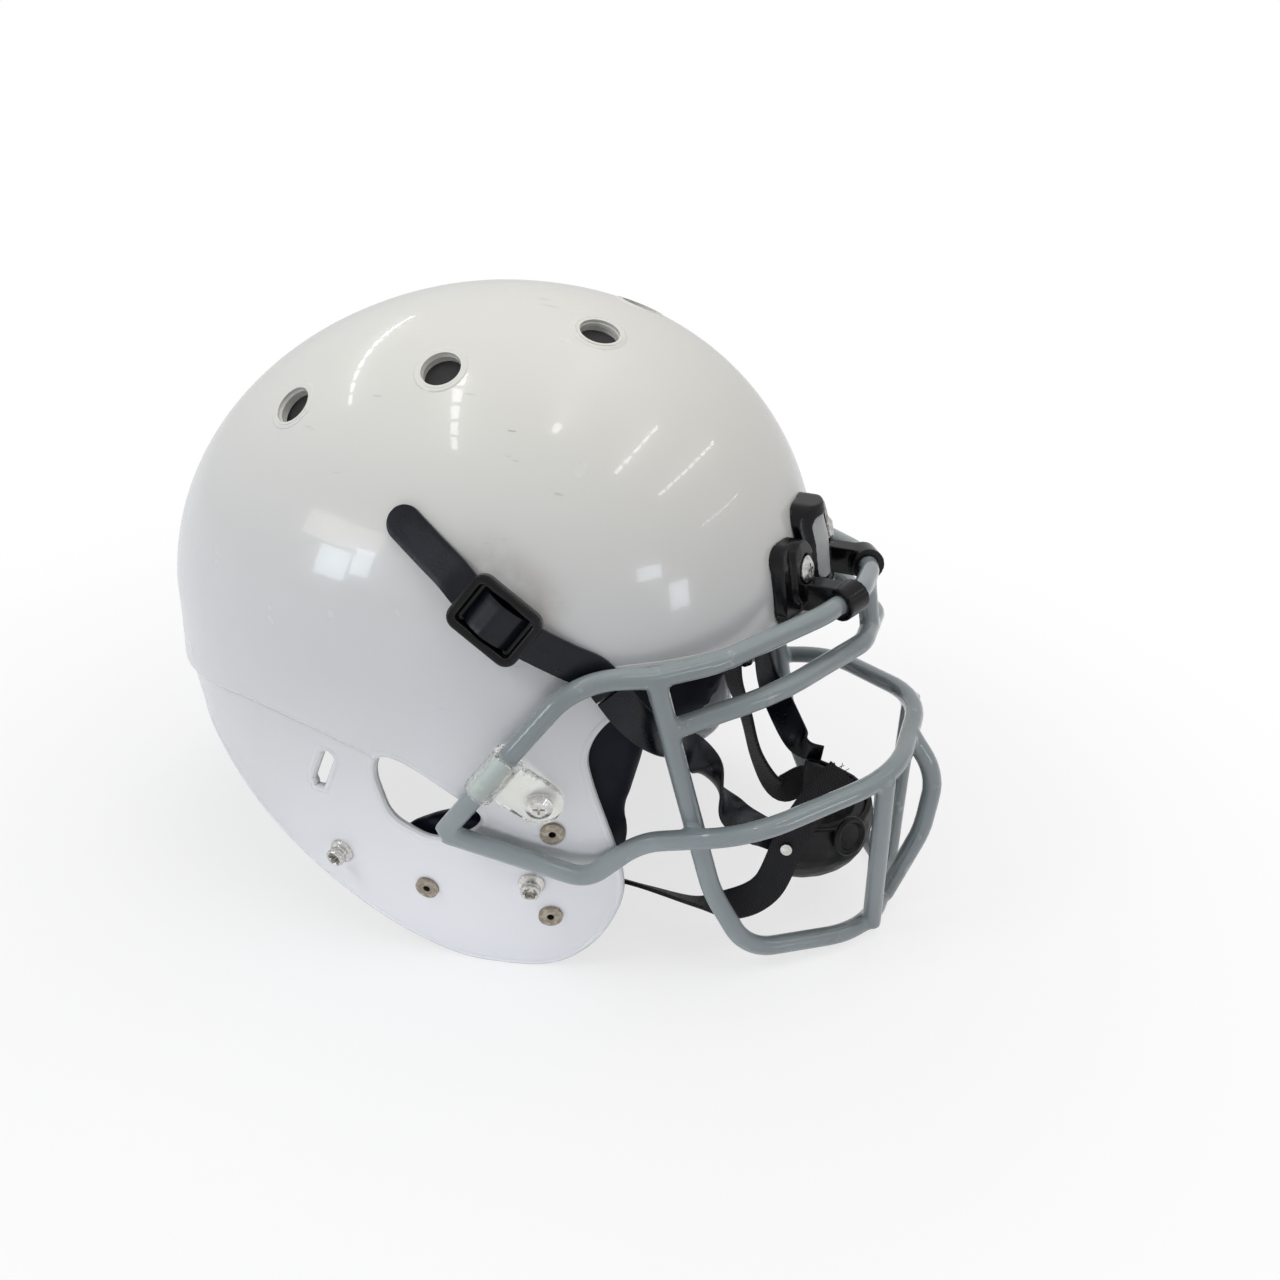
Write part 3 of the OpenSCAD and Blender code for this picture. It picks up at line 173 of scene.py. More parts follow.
def level(z, off):
    """Half width, front reach, rear reach and middle of the shell at a height, drawn in by off."""
    half, ahead, behind = half_width - off, front_reach - off, rear_reach - off
    if z >= widest:
        rise = min((z - widest) / (crown_height - off - widest), 1)
        keep = sqrt(1 - rise * rise)
        return half * keep, ahead * keep, behind * keep, -crown_lean * rise
    drop = ((widest - z) / widest) ** 2
    return half * (1 - flap_draw * drop), ahead, behind * (1 - nape_draw * drop), 0.0


def round_point(z, turn, off):
    """A place of the shell by height and turn: 0 is the wearer's left and 90 the rear."""
    half, ahead, behind, middle = level(z, off)
    power = 2 / squareness
    across, along = (copysign(abs(v) ** power, v) for v in (cos(turn), sin(turn)))
    reach = ahead if along < 0 else behind
    return Vector((half * across, middle + reach * along, z))


def side_x(y, z):
    """Half width of the shell at a place of the side view."""
    half, ahead, behind, middle = level(z, 0)
    share = min(abs(y - middle) / (ahead if y < middle else behind), 1)
    return half * (1 - share ** squareness) ** (1 / squareness)


def side_normal(y, z, step=0.0005):
    """Outward direction of the shell's right side at such a place."""
    slope_y = (side_x(y + step, z) - side_x(y - step, z)) / (2 * step)
    slope_z = (side_x(y, z + step) - side_x(y, z - step)) / (2 * step)
    return Vector((-1, -slope_y, -slope_z)).normalized()


def on_side(y, z, off=0.0):
    """A point of the right side, lifted off the shell."""
    return Vector((-side_x(y, z), y, z)) + off * side_normal(y, z)


def only(*pieces):
    """Selects some pieces and nothing else, with the first one active."""
    bpy.ops.object.select_all(action="DESELECT")
    for piece in pieces:
        piece.select_set(True)
    bpy.context.view_layer.objects.active = pieces[0]


def modify(piece, kind, **settings):
    """Adds one modifier and applies it."""
    only(piece)
    modifier = piece.modifiers.new(kind.lower(), kind)
    for key, value in settings.items():
        setattr(modifier, key, value)
    bpy.ops.object.modifier_apply(modifier=modifier.name)


def place_vertices(piece, function):
    """Moves every vertex to where a function says."""
    for vertex in piece.data.vertices:
        vertex.co = function(vertex.co)
    piece.data.update()


def start_edit(piece, kind=None, wanted=None):
    """Edit mode on one piece, with all of it selected or only the faces or edges that a test picks."""
    only(piece)
    bpy.ops.object.mode_set(mode="EDIT")
    if kind:
        bpy.ops.mesh.select_mode(type=kind)
    bpy.ops.mesh.select_all(action="DESELECT" if wanted else "SELECT")
    if wanted:
        end_edit()
        for part in piece.data.polygons if kind == "FACE" else piece.data.edges:
            part.select = wanted(part)
        bpy.ops.object.mode_set(mode="EDIT")


def end_edit():
    """Back to object mode."""
    bpy.ops.object.mode_set(mode="OBJECT")


def merge(piece, distance):
    """Joins the vertices that coincide and turns all faces outwards."""
    start_edit(piece)
    bpy.ops.mesh.remove_doubles(threshold=distance)
    bpy.ops.mesh.normals_make_consistent(inside=False)
    end_edit()


def paint(piece, material):
    """Gives a piece its one material."""
    piece.data.materials.clear()
    piece.data.materials.append(material)


def joined(pieces, name):
    """Several meshes as one."""
    only(*pieces)
    bpy.ops.object.join()
    bpy.context.object.name = name
    return bpy.context.object


def copied(source, name, place):
    """A copy of a piece's mesh, moved to its place."""
    piece = bpy.data.objects.new(name, source.data.copy())
    piece.data.transform(place)
    scene.collection.objects.link(piece)
    return piece


def tube(piece, radius, resolution):
    """Gives a curve or a run of loose edges a round section, as a mesh."""
    only(piece)
    if piece.type == "MESH":
        bpy.ops.object.convert(target="CURVE")
    curve = bpy.context.object.data
    curve.bevel_depth = radius
    curve.bevel_resolution = resolution
    curve.use_fill_caps = True
    bpy.ops.object.convert(target="MESH")
    return bpy.context.object


def eased(points, radius, steps=6):
    """A closed outline in (y, z) with its corners eased."""
    out = []
    count = len(points)
    for i in range(count):
        before, here, after = (Vector(points[j % count]) for j in (i - 1, i, i + 1))
        back, on = before - here, after - here
        start = here + back.normalized() * min(radius, 0.45 * back.length)
        end = here + on.normalized() * min(radius, 0.45 * on.length)
        for k in range(steps + 1):
            t = k / steps
            out.append((1 - t) ** 2 * start + 2 * t * (1 - t) * here + t * t * end)
    return out


def drawn_in(points, distance):
    """The same outline, set in by a distance, or out where it is negative."""
    area = sum(a.x * b.y - b.x * a.y for a, b in zip(points, points[1:] + points[:1]))
    side = copysign(1, area)
    out = []
    for i, here in enumerate(points):
        run = (points[(i + 1) % len(points)] - points[i - 1]).normalized()
        out.append(here + distance * side * Vector((-run.y, run.x)))
    return out


def cutter(outline, name):
    """A prism through the whole width with an outline of the side view."""
    bpy.ops.mesh.primitive_circle_add(vertices=len(outline), fill_type="NGON")
    piece = bpy.context.object
    piece.name = name
    for vertex, (y, z) in zip(piece.data.vertices, outline):
        vertex.co = (-cutter_half, y, z)
    start_edit(piece)
    bpy.ops.mesh.extrude_region_move(TRANSFORM_OT_translate={"value": (2 * cutter_half, 0, 0)})
    bpy.ops.mesh.select_all(action="SELECT")
    bpy.ops.mesh.normals_make_consistent(inside=False)
    end_edit()
    return piece


def drop_faces(piece, unwanted):
    """Deletes the faces that a test picks."""
    start_edit(piece, "FACE", unwanted)
    bpy.ops.mesh.delete(type="FACE")
    end_edit()


def of_tool(face):
    """Whether a face is the tool's, by its second material."""
    return face.material_index == 1


def score(sheet, tool):
    """Cuts an open sheet where a tool passes through it, and throws the tool away."""
    for piece, name in ((sheet, "kept"), (tool, "scored")):
        paint(piece, bpy.data.materials.new(name))
    sheet = joined([sheet, tool], sheet.name)
    start_edit(sheet, "FACE", of_tool)
    bpy.ops.mesh.intersect(mode="SELECT_UNSELECT", separate_mode="CUT", solver="EXACT")
    end_edit()
    drop_faces(sheet, of_tool)
    return sheet


def inside(outline, y, z):
    """Whether a place of the side view lies inside an outline."""
    found = False
    for a, b in zip(outline, outline[1:] + outline[:1]):
        if (a.y > z) != (b.y > z) and y < a.x + (z - a.y) * (b.x - a.x) / (b.y - a.y):
            found = not found
    return found


def mm(*values):
    """Millimetres to metres."""
    return tuple(v / 1000 for v in values)


shell_turns, dome_rows, bead, cutter_half = 250, 58, 0.0004, 0.2
ridge_height, ridge_drop, ridge_fade, ridge_start, ridge_run_in = 0.0022, 0.0026, 0.03, -0.004, 0.01
ridge_y = mm(4, 14, 35, 55, 73, 95, 116, 150)
ridge_z = mm(100.8, 104.2, 108.5, 110.4, 110, 105.6, 100.8, 97)
dome_rise = crown_height - wall / 2 - widest
# The rows of the sheet lie closest where the ridge is.
row_heights = [*np.linspace(0, 0.0925, 32), *np.linspace(0.0942, 0.1135, 29), *np.linspace(0.1165, widest, 6)]
row_heights += [widest + dome_rise * sin(pi / 2 * k / dome_rows) for k in range(1, dome_rows + 1)]
shell_rows = len(row_heights) - 1


def ridge(y, z):
    """Height of the moulded ridge that runs back above the ear and round the nape."""
    above = z - np.interp(y, ridge_y, ridge_z)
    if above > 0:
        share = max(0.0, 1 - above / ridge_fade) ** 2
    else:
        share = max(0.0, 1 + above / ridge_drop)
        share = share * share * (3 - 2 * share)
    fade = min(max((y - ridge_start) / ridge_run_in, 0), 1)
    return ridge_height * share * fade * fade * (3 - 2 * fade)


def shell_place(co):
    """Where a point of the flat grid lies on the shell, with the ridge raised."""
    turn, z = pi * (co.x + 1), row_heights[round((co.y + 1) / 2 * shell_rows)]
    point = round_point(z, turn, wall / 2)
    grow = ridge(point.y, z)
    return round_point(z, turn, wall / 2 - grow) if grow else point


bpy.ops.mesh.primitive_grid_add(x_subdivisions=shell_turns, y_subdivisions=shell_rows, size=2)
shell = bpy.context.object
shell.name = "white_shell"
place_vertices(shell, shell_place)
merge(shell, 1e-6)

# Outlines of the side view: y and z in millimetres.
flap_outline = [mm(*p) for p in (
    (-220, 147), (-82, 147), (-77.5, 142), (-80, 136.5), (-87.5, 130.5), (-79, 121), (-75.5, 110), (-78, 97),
    (-84, 75), (-89, 55), (-90, 39), (-84, 21), (-74, 8), (-60, 0), (-26, 0), (-10, 4.5), (5, 10), (22, 18),
    (47, 30.5), (76, 46), (107, 66), (130, 75), (150, 78), (220, 78), (220, 274), (-220, 274))]
ear_outline = [mm(*p) for p in (
    (5, 103), (9, 92), (3, 71), (-15, 63.5), (-32, 70.5), (-38, 80), (-24, 89), (-11, 97))]
flap_corner, ear_corner = 0.011, 0.0065
flap_edge_line = drawn_in(eased(flap_outline, flap_corner), wall / 2)
ear_edge_line = drawn_in(eased(ear_outline, ear_corner), -wall / 2)
slot_y, slot_z, slot_points = 0.033, 0.086, 24
slot_lean, slot_reach, slot_radius = radians(23), 0.007, 0.003 + wall / 2
slot_outline = []
for k in range(slot_points):
    turn = 2 * pi * (k + 0.5) / slot_points
    y = slot_radius * cos(turn)
    z = slot_radius * sin(turn) + copysign(slot_reach, sin(turn))
    slot_outline.append(Vector((slot_y + y * cos(slot_lean) - z * sin(slot_lean),
                                slot_z + y * sin(slot_lean) + z * cos(slot_lean))))
tools = [cutter(outline, f"{name}_cutter") for outline, name in (
    (flap_edge_line, "flap"), (ear_edge_line, "ear"), (slot_outline, "slot"))]
vent_places = [mm(-24.5, -51), mm(-60.5, -0.5), mm(-66.5, 61.5)]
vent_cut, vent_depth, vent_near = 0.008 + wall / 2, 0.03, 0.014


def dome_height(x, y):
    """Height of the dome over a place of the plan, by halving."""
    low, high = widest, crown_height - 0.0001
    for _ in range(30):
        middle = (low + high) / 2
        if side_x(y, middle) > abs(x):
            low = middle
        else:
            high = middle
    return low


def mirrored(vector):
    """The same on the other side."""
    return Vector((-vector.x, vector.y, vector.z))


def both_sides(point, normal):
    """A place and its direction, and the same on the far side."""
    return (point, normal), (mirrored(point), mirrored(normal))


def side_seats(places):
    """Places of the side view on both sides, each with its outward direction."""
    return [seat for y, z in places for seat in both_sides(on_side(y, z), side_normal(y, z))]


def cylinder(place, direction, radius, depth, vertices=48):
    """A cylinder with its middle at a place."""
    bpy.ops.mesh.primitive_cylinder_add(vertices=vertices, radius=radius, depth=depth, location=place,
                                        rotation=direction.to_track_quat("Z", "Y").to_euler())
    piece = bpy.context.object
    bpy.ops.object.transform_apply(location=True, rotation=True, scale=True)
    return piece


vents = []
for x, y in vent_places:
    seat = Vector((x, y, dome_height(x, y)))
    for point, normal in both_sides(seat, side_normal(y, seat.z)):
        tools.append(cylinder(point, normal, vent_cut, vent_depth))
        vents.append((point, normal))
shell = score(shell, joined(tools, "opening_cutter"))


def open_place(face):
    """Whether a face of the sheet lies where the real shell is open."""
    x, y, z = face.center
    if not inside(flap_edge_line, y, z) or inside(ear_edge_line, y, z) or inside(slot_outline, y, z):
        return True
    for point, normal in vents:
        away = face.center - point
        rise = away.dot(normal)
        if abs(rise) < vent_near and (away - normal * rise).length < vent_cut:
            return True
    return False


drop_faces(shell, open_place)
merge(shell, 1e-5)

start_edit(shell, "EDGE")
bpy.ops.mesh.select_all(action="DESELECT")
bpy.ops.mesh.select_non_manifold(use_wire=False, use_multi_face=False, use_non_contiguous=False,
                                 use_verts=False)
bpy.ops.mesh.duplicate()
bpy.ops.mesh.separate(type="SELECTED")
end_edit()
rim = next(o for o in bpy.context.selected_objects if o != shell)
rim_step, rim_resolution = 0.0006, 3
merge(rim, rim_step)
rim = tube(rim, wall / 2 + bead, rim_resolution)
place_vertices(rim, lambda co: Vector((co.x, co.y, max(co.z, 0))))
modify(shell, "SOLIDIFY", thickness=wall, offset=0, use_even_offset=True)

stud_places = [mm(28.5, 45), mm(-55.5, 47.5), mm(-44, 169)]
screw_place = mm(-59.5, 90.5)
rivet_places = [mm(-11.5, 38), mm(-64, 74.5), mm(-62.5, 30.5)]
hole_radius, hole_depth, hole_sides = 0.0034, 0.024, 24
holes = [cylinder(point, normal, hole_radius, hole_depth, hole_sides)
         for point, normal in side_seats([*stud_places, screw_place, *rivet_places])]
hole_cutter = joined(holes, "hole_cutter")
modify(shell, "BOOLEAN", operation="DIFFERENCE", solver="EXACT", object=hole_cutter)
bpy.data.objects.remove(hole_cutter, do_unlink=True)
collar_radius, collar_height, collar_wall = 0.0086, 0.0052, 0.0012
collars = []
for point, normal in vents:
    collar = cylinder(point - normal * (collar_height / 2), normal, collar_radius, collar_height)
    drop_faces(collar, lambda face, normal=normal: abs(face.normal.dot(normal)) > 0.9)
    modify(collar, "SOLIDIFY", thickness=collar_wall, offset=0)
    collars.append(collar)
shell = joined([shell, rim, *collars], "white_shell")


class Value:
    """A shader value, so that maths on it is written as a Python expression."""

    def __init__(self, finish, socket):
        self.finish, self.socket = finish, socket

    def maths(self, operation, *others):
        """This value and others through a maths node."""
        values = dict(enumerate((self, *others)))
        return self.finish.node("ShaderNodeMath", {"operation": operation}, values)

    def __add__(self, other):
        return self.maths("ADD", other)

    def __sub__(self, other):
        return self.maths("SUBTRACT", other)

    def __mul__(self, other):
        return self.maths("MULTIPLY", other)

    def __rsub__(self, other):
        return self.finish.node("ShaderNodeMath", {"operation": "SUBTRACT"}, {0: other, 1: self})

    __radd__, __rmul__ = __add__, __mul__

    def between(self, low, high):
        """0 below low, 1 above high, eased in between; high may be the lower one."""
        return self.finish.node("ShaderNodeMapRange", {"interpolation_type": "SMOOTHSTEP"},
                                {"Value": self, "From Min": low, "From Max": high})


class Finish:
    """One material and the shader nodes that it is made from."""

    def __init__(self, name, roughness=0.5, **sockets):
        self.material = bpy.data.materials.new(name)
        self.material.use_nodes = True
        self.tree = self.material.node_tree
        self.surface = self.tree.nodes["Principled BSDF"]
        self.feed("Roughness", roughness)
        for key, value in sockets.items():
            self.feed(key.replace("_", " "), value)

    def join(self, socket, value):
        """Links a value to a socket, or writes numbers there."""
        if isinstance(value, Value):
            self.tree.links.new(value.socket, socket)
        elif isinstance(value, (tuple, list)):
            socket.default_value = (*value, 1) if socket.type == "RGBA" and len(value) == 3 else value
        else:
            socket.default_value = value

    def feed(self, name, value):
        """Feeds one socket of the surface."""
        self.join(self.surface.inputs[name], value)

    def node(self, kind, settings=None, values=None, output=0):
        """Adds a node: its settings first, then the values or links of its sockets."""
        node = self.tree.nodes.new(kind)
        for key, value in (settings or {}).items():
            setattr(node, key, value)
        for key, value in (values or {}).items():
            self.join(node.inputs[key], value)
        return Value(self, node.outputs[output])

    def place(self, scale=(1, 1, 1), turn=(0, 0, 0)):
        """Object coordinates, scaled and turned."""
        spot = self.node("ShaderNodeTexCoord", output="Object")
        return self.node("ShaderNodeMapping", {}, {"Vector": spot, "Scale": scale, "Rotation": turn})

    def noise(self, scale, detail=3, vector=None, roughness=0.5):
        """A noise over the piece, or over the coordinates that are given."""
        values = {"Vector": vector or self.place(), "Scale": scale, "Detail": detail, "Roughness": roughness}
        return self.node("ShaderNodeTexNoise", {}, values)

    def axes(self, vector=None):
        """The three numbers of a vector."""
        split = self.tree.nodes.new("ShaderNodeSeparateXYZ")
        self.join(split.inputs[0], vector or self.place())
        return tuple(Value(self, s) for s in split.outputs)

    def blend(self, factor, first, second):
        """A colour between two others."""
        values = {"Factor": factor, 6: first, 7: second}
        return self.node("ShaderNodeMix", {"data_type": "RGBA"}, values, output=2)

    def bump(self, height, distance):
        """Feeds the normal with a height, of which 1 stands for a distance in metres."""
        self.feed("Normal", self.node("ShaderNodeBump", {}, {"Height": height, "Distance": distance}))

    def mottle(self, first, second, scale, detail, low=0.3, high=0.7):
        """Feeds the base colour with two colours in soft patches."""
        self.feed("Base Color", self.blend(self.noise(scale, detail).between(low, high), first, second))

    def dull(self, least, spread, scale, detail=3, high=0.8):
        """Feeds the roughness with its least value and soft patches over it."""
        self.feed("Roughness", self.noise(scale, detail).between(0.3, high) * spread + least)

    def grain(self, scale, detail, depth):
        """Gives the surface an even grain."""
        self.bump(self.noise(scale, detail), depth)


def dress(piece, finish, slot, body, *replaced, angle=60):
    """Gives a piece its material, body and the CAD nodes it stands for, which it hides; the slot is not used.
    """
    paint(piece, finish.material)
    only(piece)
    bpy.ops.object.shade_smooth_by_angle(angle=radians(angle))
    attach(piece, body)
    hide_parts(*replaced)


# White gloss plastic: painted warm light makes it creamier towards the top; scuffed in streaks, and soiled on
# the jaw flaps and by the straps.
gloss = Finish("white_gloss_plastic", 0.22, Coat_Weight=0.6, Coat_Roughness=0.04)
_, y, z = gloss.axes()
dirt_y, dirt_z, lean_along, lean_across = -0.055, 0.088, 0.844, 0.536
smudge = gloss.noise(26, 5, roughness=0.62).between(0.5, 0.68)
flap_spot = ((y - dirt_y) * (y - dirt_y) + (z - dirt_z) * (z - dirt_z)).between(0.0016, 0.0002)
streaks = gloss.noise(30, 2, gloss.place((9, 1.2, 9), (0.7, 0.2, 0.3))).between(0.705, 0.74)
patches = gloss.noise(7, 2).between(0.45, 0.62)
scuffed = streaks * patches
white = gloss.noise(5, 3).between(0.3, 0.7)
white = gloss.blend(white, (0.82, 0.82, 0.82), (0.86, 0.862, 0.88))
# Painted warm light: the shell is tinted cream towards the top, where the warm ceiling light falls, and not
# below.
above = z.between(0.12, 0.235)
white = gloss.blend(above * 0.85, white, (0.87, 0.85, 0.775))
along, across = y * lean_along + z * lean_across, z * lean_along - y * lean_across
strap_edge = across.between(0.168, 0.172) * across.between(0.192, 0.179)
strap_edge = strap_edge * along.between(0.03, 0.045) * along.between(0.09, 0.06)
soiled = smudge * flap_spot + strap_edge * gloss.noise(60, 4).between(0.3, 0.6) * 0.8
white = gloss.blend(soiled * 0.5, white, (0.5, 0.43, 0.34))
gloss.feed("Base Color", gloss.blend(scuffed * 0.5, white, (0.25, 0.25, 0.27)))
gloss.feed("Roughness", gloss.noise(60, 4).between(0.3, 0.8) * 0.1 + 0.18 + scuffed * 0.3)
gloss.bump(gloss.noise(420, 2) + scuffed * 2, 0.00003)
dress(shell, gloss, "shell", "helmet", "shell", angle=35)

# Face guard.
# The real guard is bent steel wire, welded at the crossings and dipped in grey plastic.
# The wires are one skin here, so that the welds get the soft fillets that the dip leaves.
wire = 0.0086 / 2
guard_gap = 0.003
wire_off = wire + guard_gap


def bent(points, radii, turn_step=4):
    """Straight runs joined by arcs at the inner points."""
    points = [Vector(p) for p in points]
    out = [points[0]]
    for i, radius in enumerate(radii, 1):
        before, here, after = points[i - 1:i + 2]
        to_before, to_after = (before - here).normalized(), (after - here).normalized()
        turn = pi - to_before.angle(to_after)
        middle = here + (to_before + to_after).normalized() * radius / cos(turn / 2)
        first = (here + to_before * radius * tan(turn / 2) - middle) / radius
        steps = max(3, ceil(degrees(turn) / turn_step))
        for k in range(steps + 1):
            a = turn * k / steps
            out.append(middle + radius * (first * cos(a) - to_before * sin(a)))
    return out + [points[-1]]


def rod(points, radius=wire, resolution=6):
    """A round rod along points."""
    curve = bpy.data.curves.new("rod", "CURVE")
    curve.dimensions = "3D"
    spline = curve.splines.new("POLY")
    spline.points.add(len(points) - 1)
    for spot, point in zip(spline.points, points):
        spot.co = (*point, 1)
    piece = bpy.data.objects.new("rod", curve)
    scene.collection.objects.link(piece)
    return tube(piece, radius, resolution)


# The main bar rises to the front, from 70 mm at y = -99 to 92 mm at y = -193.
slope = (92 - 70) / (193 - 99)
corner = on_side(*mm(-23.7, 75.6), wire_off)
main_half = [corner, on_side(*mm(-76, 57.5), wire_off + 0.0012), mm(-87, -96, 68.3),
             mm(-82, -140, 70 + slope * 41), mm(-34, -189, 70 + slope * 90)]
brow_half = [corner, on_side(*mm(-50.9, 117.2), wire_off), on_side(*mm(-72, 147.7), wire_off),
             mm(-92, -99.3, 147.3), mm(-76, -120, 150), mm(-36, -151, 157.5), mm(-12, -162, 160)]
side_half = [mm(-91, -100.5, 145.5), mm(-80.5, -109.5, 99), mm(-72.8, -124, 41), mm(-68, -140, 11),
             mm(-27, -187.5, 4.3)]
eye_start = (Vector(side_half[0]) + Vector(side_half[1])) / 2
eye_half = [eye_start, mm(-61, -141.5, 134), mm(-15, -166, 139)]


def bar(half, bends):
    """A whole bar from its right half, with the radii of the half's bends in millimetres."""
    bends = mm(*bends)
    return bent([*half, *(mirrored(Vector(p)) for p in reversed(half))], bends + bends[::-1])


main_bar = bar(main_half, (14, 26, 50, 50))
brow_bar = bar(brow_half, (30, 30, 30, 60, 40, 30))
front_post = bent([mm(-38, -185, 90.5), mm(-30, -186, 49), mm(-23.5, -187, 4.3)], [0.09])
centre_post = bent([mm(0, -190, 91), mm(0, -203, 74), mm(0, -201, 44), mm(0, -189, 4.3)], [0.03, 0.06])
guard_rods = [rod(points) for points in (
    main_bar, brow_bar, bar(side_half, (150, 60, 24, 50)), bar(eye_half, (60, 14)), front_post,
    [mirrored(p) for p in front_post], centre_post, [Vector(mm(0, -162, 160)), Vector(mm(0, -166, 139))])]
guard = joined(guard_rods, "dipped_guard")
modify(guard, "REMESH", mode="VOXEL", voxel_size=0.0009)
modify(guard, "SMOOTH", factor=0.5, iterations=12)

dip = Finish("grey_dip_coating", 0.2, Coat_Weight=0.9, Coat_Roughness=0.04)
worn = dip.noise(140, 4).between(0.62, 0.7) * dip.noise(18, 2).between(0.5, 0.65)
grey = dip.blend(dip.noise(22, 3).between(0.3, 0.7), (0.25, 0.29, 0.3), (0.31, 0.35, 0.355))
dip.feed("Base Color", dip.blend(worn * 0.6, grey, (0.46, 0.49, 0.49)))
dip.dull(0.14, 0.14, 90, high=0.75)
dip.bump(dip.noise(160, 3) + dip.noise(600, 2) * 0.3, 0.0002)
dress(guard, dip, "guard", "helmet", "brow_rod", "main_rod", "eye_rod", "chin_rod", "front_post_right",
      "front_post_left", "front_post_centre", "nose_link", angle=80)


# Moulded plastic on the brow and the loose buckles.
# Two black brackets hold the brow rod, and between them stands the bumper with its bare plate.
# Each is its solid with the edges softened as a mould leaves them.
def moulded(node, name, voxel, iterations):
    """A copy of a CAD node as one skin with softened edges."""
    piece = copied(nodes[node], name, nodes[node].matrix_world)
    merge(piece, 1e-6)
    modify(piece, "REMESH", mode="VOXEL", voxel_size=voxel)
    modify(piece, "SMOOTH", factor=0.5, iterations=iterations)
    return piece


black = Finish("black_moulded_plastic", 0.2, Specular_IOR_Level=0.3)
dust = black.noise(90, 4).between(0.55, 0.8)
black.feed("Base Color", black.blend(dust * 0.4, (0.0035, 0.0035, 0.0045), (0.02, 0.02, 0.021)))
black.dull(0.13, 0.14, 300)
black.grain(900, 2, 0.00004)
for node, name, voxel, iterations, body in (
        ("brow_clip_right", "brow_bracket_right", 0.0005, 4, "helmet"),
        ("brow_clip_left", "brow_bracket_left", 0.0005, 4, "helmet"),
        ("lower_buckle_right", "loose_buckle_right", 0.0004, 6, "near_lower_strap"),
        ("lower_buckle_left", "loose_buckle_left", 0.0004, 6, "far_lower_strap")):
    dress(moulded(node, name, voxel, iterations), black, "black_plastic", body, node)
bumper_half, bumper_thin = 0.014, 0.75


def crowned(co):
    """Thins the bumper towards its two sides, so that its face is crowned over the shell."""
    _, ahead, _, middle = level(co.z, 0)
    share = min(abs(co.x) / bumper_half, 1)
    return Vector((co.x, middle - ahead + (co.y - middle + ahead) * (1 - bumper_thin * share * share), co.z))


bare = Finish("bare_grey_plate", 0.35)
bare.feed("Base Color", bare.blend(bare.noise(200, 3), (0.5, 0.51, 0.5), (0.6, 0.61, 0.6)))
bare.grain(700, 2, 0.00004)
for node, name, voxel, iterations, finish, slot in (
        ("front_bumper", "brow_bumper", 0.0006, 5, black, "black_plastic"),
        ("bumper_plate", "bare_plate", 0.0005, 3, bare, "plate")):
    piece = moulded(node, name, voxel, iterations)
    place_vertices(piece, crowned)
    dress(piece, finish, slot, "helmet", node)

# Clear side clips.
# Each is a clear plastic sleeve round the guard with a lobe under a pan-head screw.
clear = Finish("clear_plastic", 0.04, IOR=1.28, Transmission_Weight=1.0)
clear.mottle((0.95, 0.95, 0.9), (0.99, 0.99, 0.97), 120, 3)
clear.grain(190, 4, 0.0009)
for side in ("right", "left"):
    clip = moulded(f"side_clip_{side}", f"clear_clip_{side}", 0.0004, 4)
    clip.visible_shadow = False
    dress(clip, clear, "clear_plastic", "helmet", f"side_clip_{side}")

# Screws, studs, nuts and rivets.
# Bright turned steel for the studs and screws, and dull bronze-grey rivets with an open middle.
steel = Finish("bright_steel", 0.22, Metallic=1.0)
steel.mottle((0.62, 0.6, 0.57), (0.8, 0.79, 0.77), 400, 3, 0.4)
steel.dull(0.14, 0.2, 700)
steel.grain(900, 2, 0.00003)
bronze = Finish("bronze_grey_rivet", 0.4, Metallic=1.0)
bronze.mottle((0.3, 0.26, 0.21), (0.48, 0.43, 0.36), 500, 3, 0.4)
bronze.dull(0.28, 0.25, 600)
bronze.grain(900, 2, 0.00004)
for name in ("brow_screws", "side_clip_screws", "t_nuts", "cup_rivets"):
    paint(nodes[name], steel.material)
paint(nodes["jaw_rivets"], bronze.material)

stud_profile = [mm(*p) for p in (
    (0, 0.1), (5.5, 0.1), (5.5, 0.9), (5.2, 1.3), (4, 1.5), (3.3, 2), (3.2, 2.7), (3.7, 3.1), (4.1, 3.5),
    (4.1, 5.3), (3.95, 5.9), (3.5, 6.3), (3.1, 6.35), (2.85, 6.1), (2.75, 5.7), (2.5, 2.9), (1.5, 2.4),
    (0, 2.3))]
socket_radius, socket_floor, socket_mouth = 0.0029, 0.0021, 0.0058
lobe_count, lobe_depth, mouth_share = 6, 0.14, 0.3


def turned(profile, name, steps=48):
    """A piece turned on a lathe from its half profile."""
    bpy.ops.mesh.primitive_circle_add(vertices=len(profile), fill_type="NOTHING")
    piece = bpy.context.object
    piece.name = name
    for vertex, (radius, height) in zip(piece.data.vertices, profile):
        vertex.co = (radius, 0, height)
    start_edit(piece, "EDGE", lambda edge: {0, len(profile) - 1} == set(edge.vertices))
    bpy.ops.mesh.delete(type="EDGE")
    bpy.ops.mesh.select_all(action="SELECT")
    bpy.ops.mesh.spin(steps=steps, angle=2 * pi, center=(0, 0, 0), axis=(0, 0, 1))
    end_edit()
    merge(piece, 2e-5)
    return piece


def starred(co):
    """Gives the stud's socket its lobes, which fade at the mouth."""
    away = hypot(co.x, co.y)
    if away < 1e-6 or away > socket_radius or co.z < socket_floor:
        return co
    wave = lobe_depth * cos(lobe_count * atan2(co.y, co.x))
    share = 1 + wave * (1 if co.z < socket_mouth else mouth_share)
    return Vector((co.x * share, co.y * share, co.z))


def seated(piece, point, normal):
    """A copy of a piece made at the origin, standing on a point."""
    turn = normal.to_track_quat("Z", "Y").to_matrix().to_4x4()
    return copied(piece, piece.name, Matrix.Translation(point) @ turn)


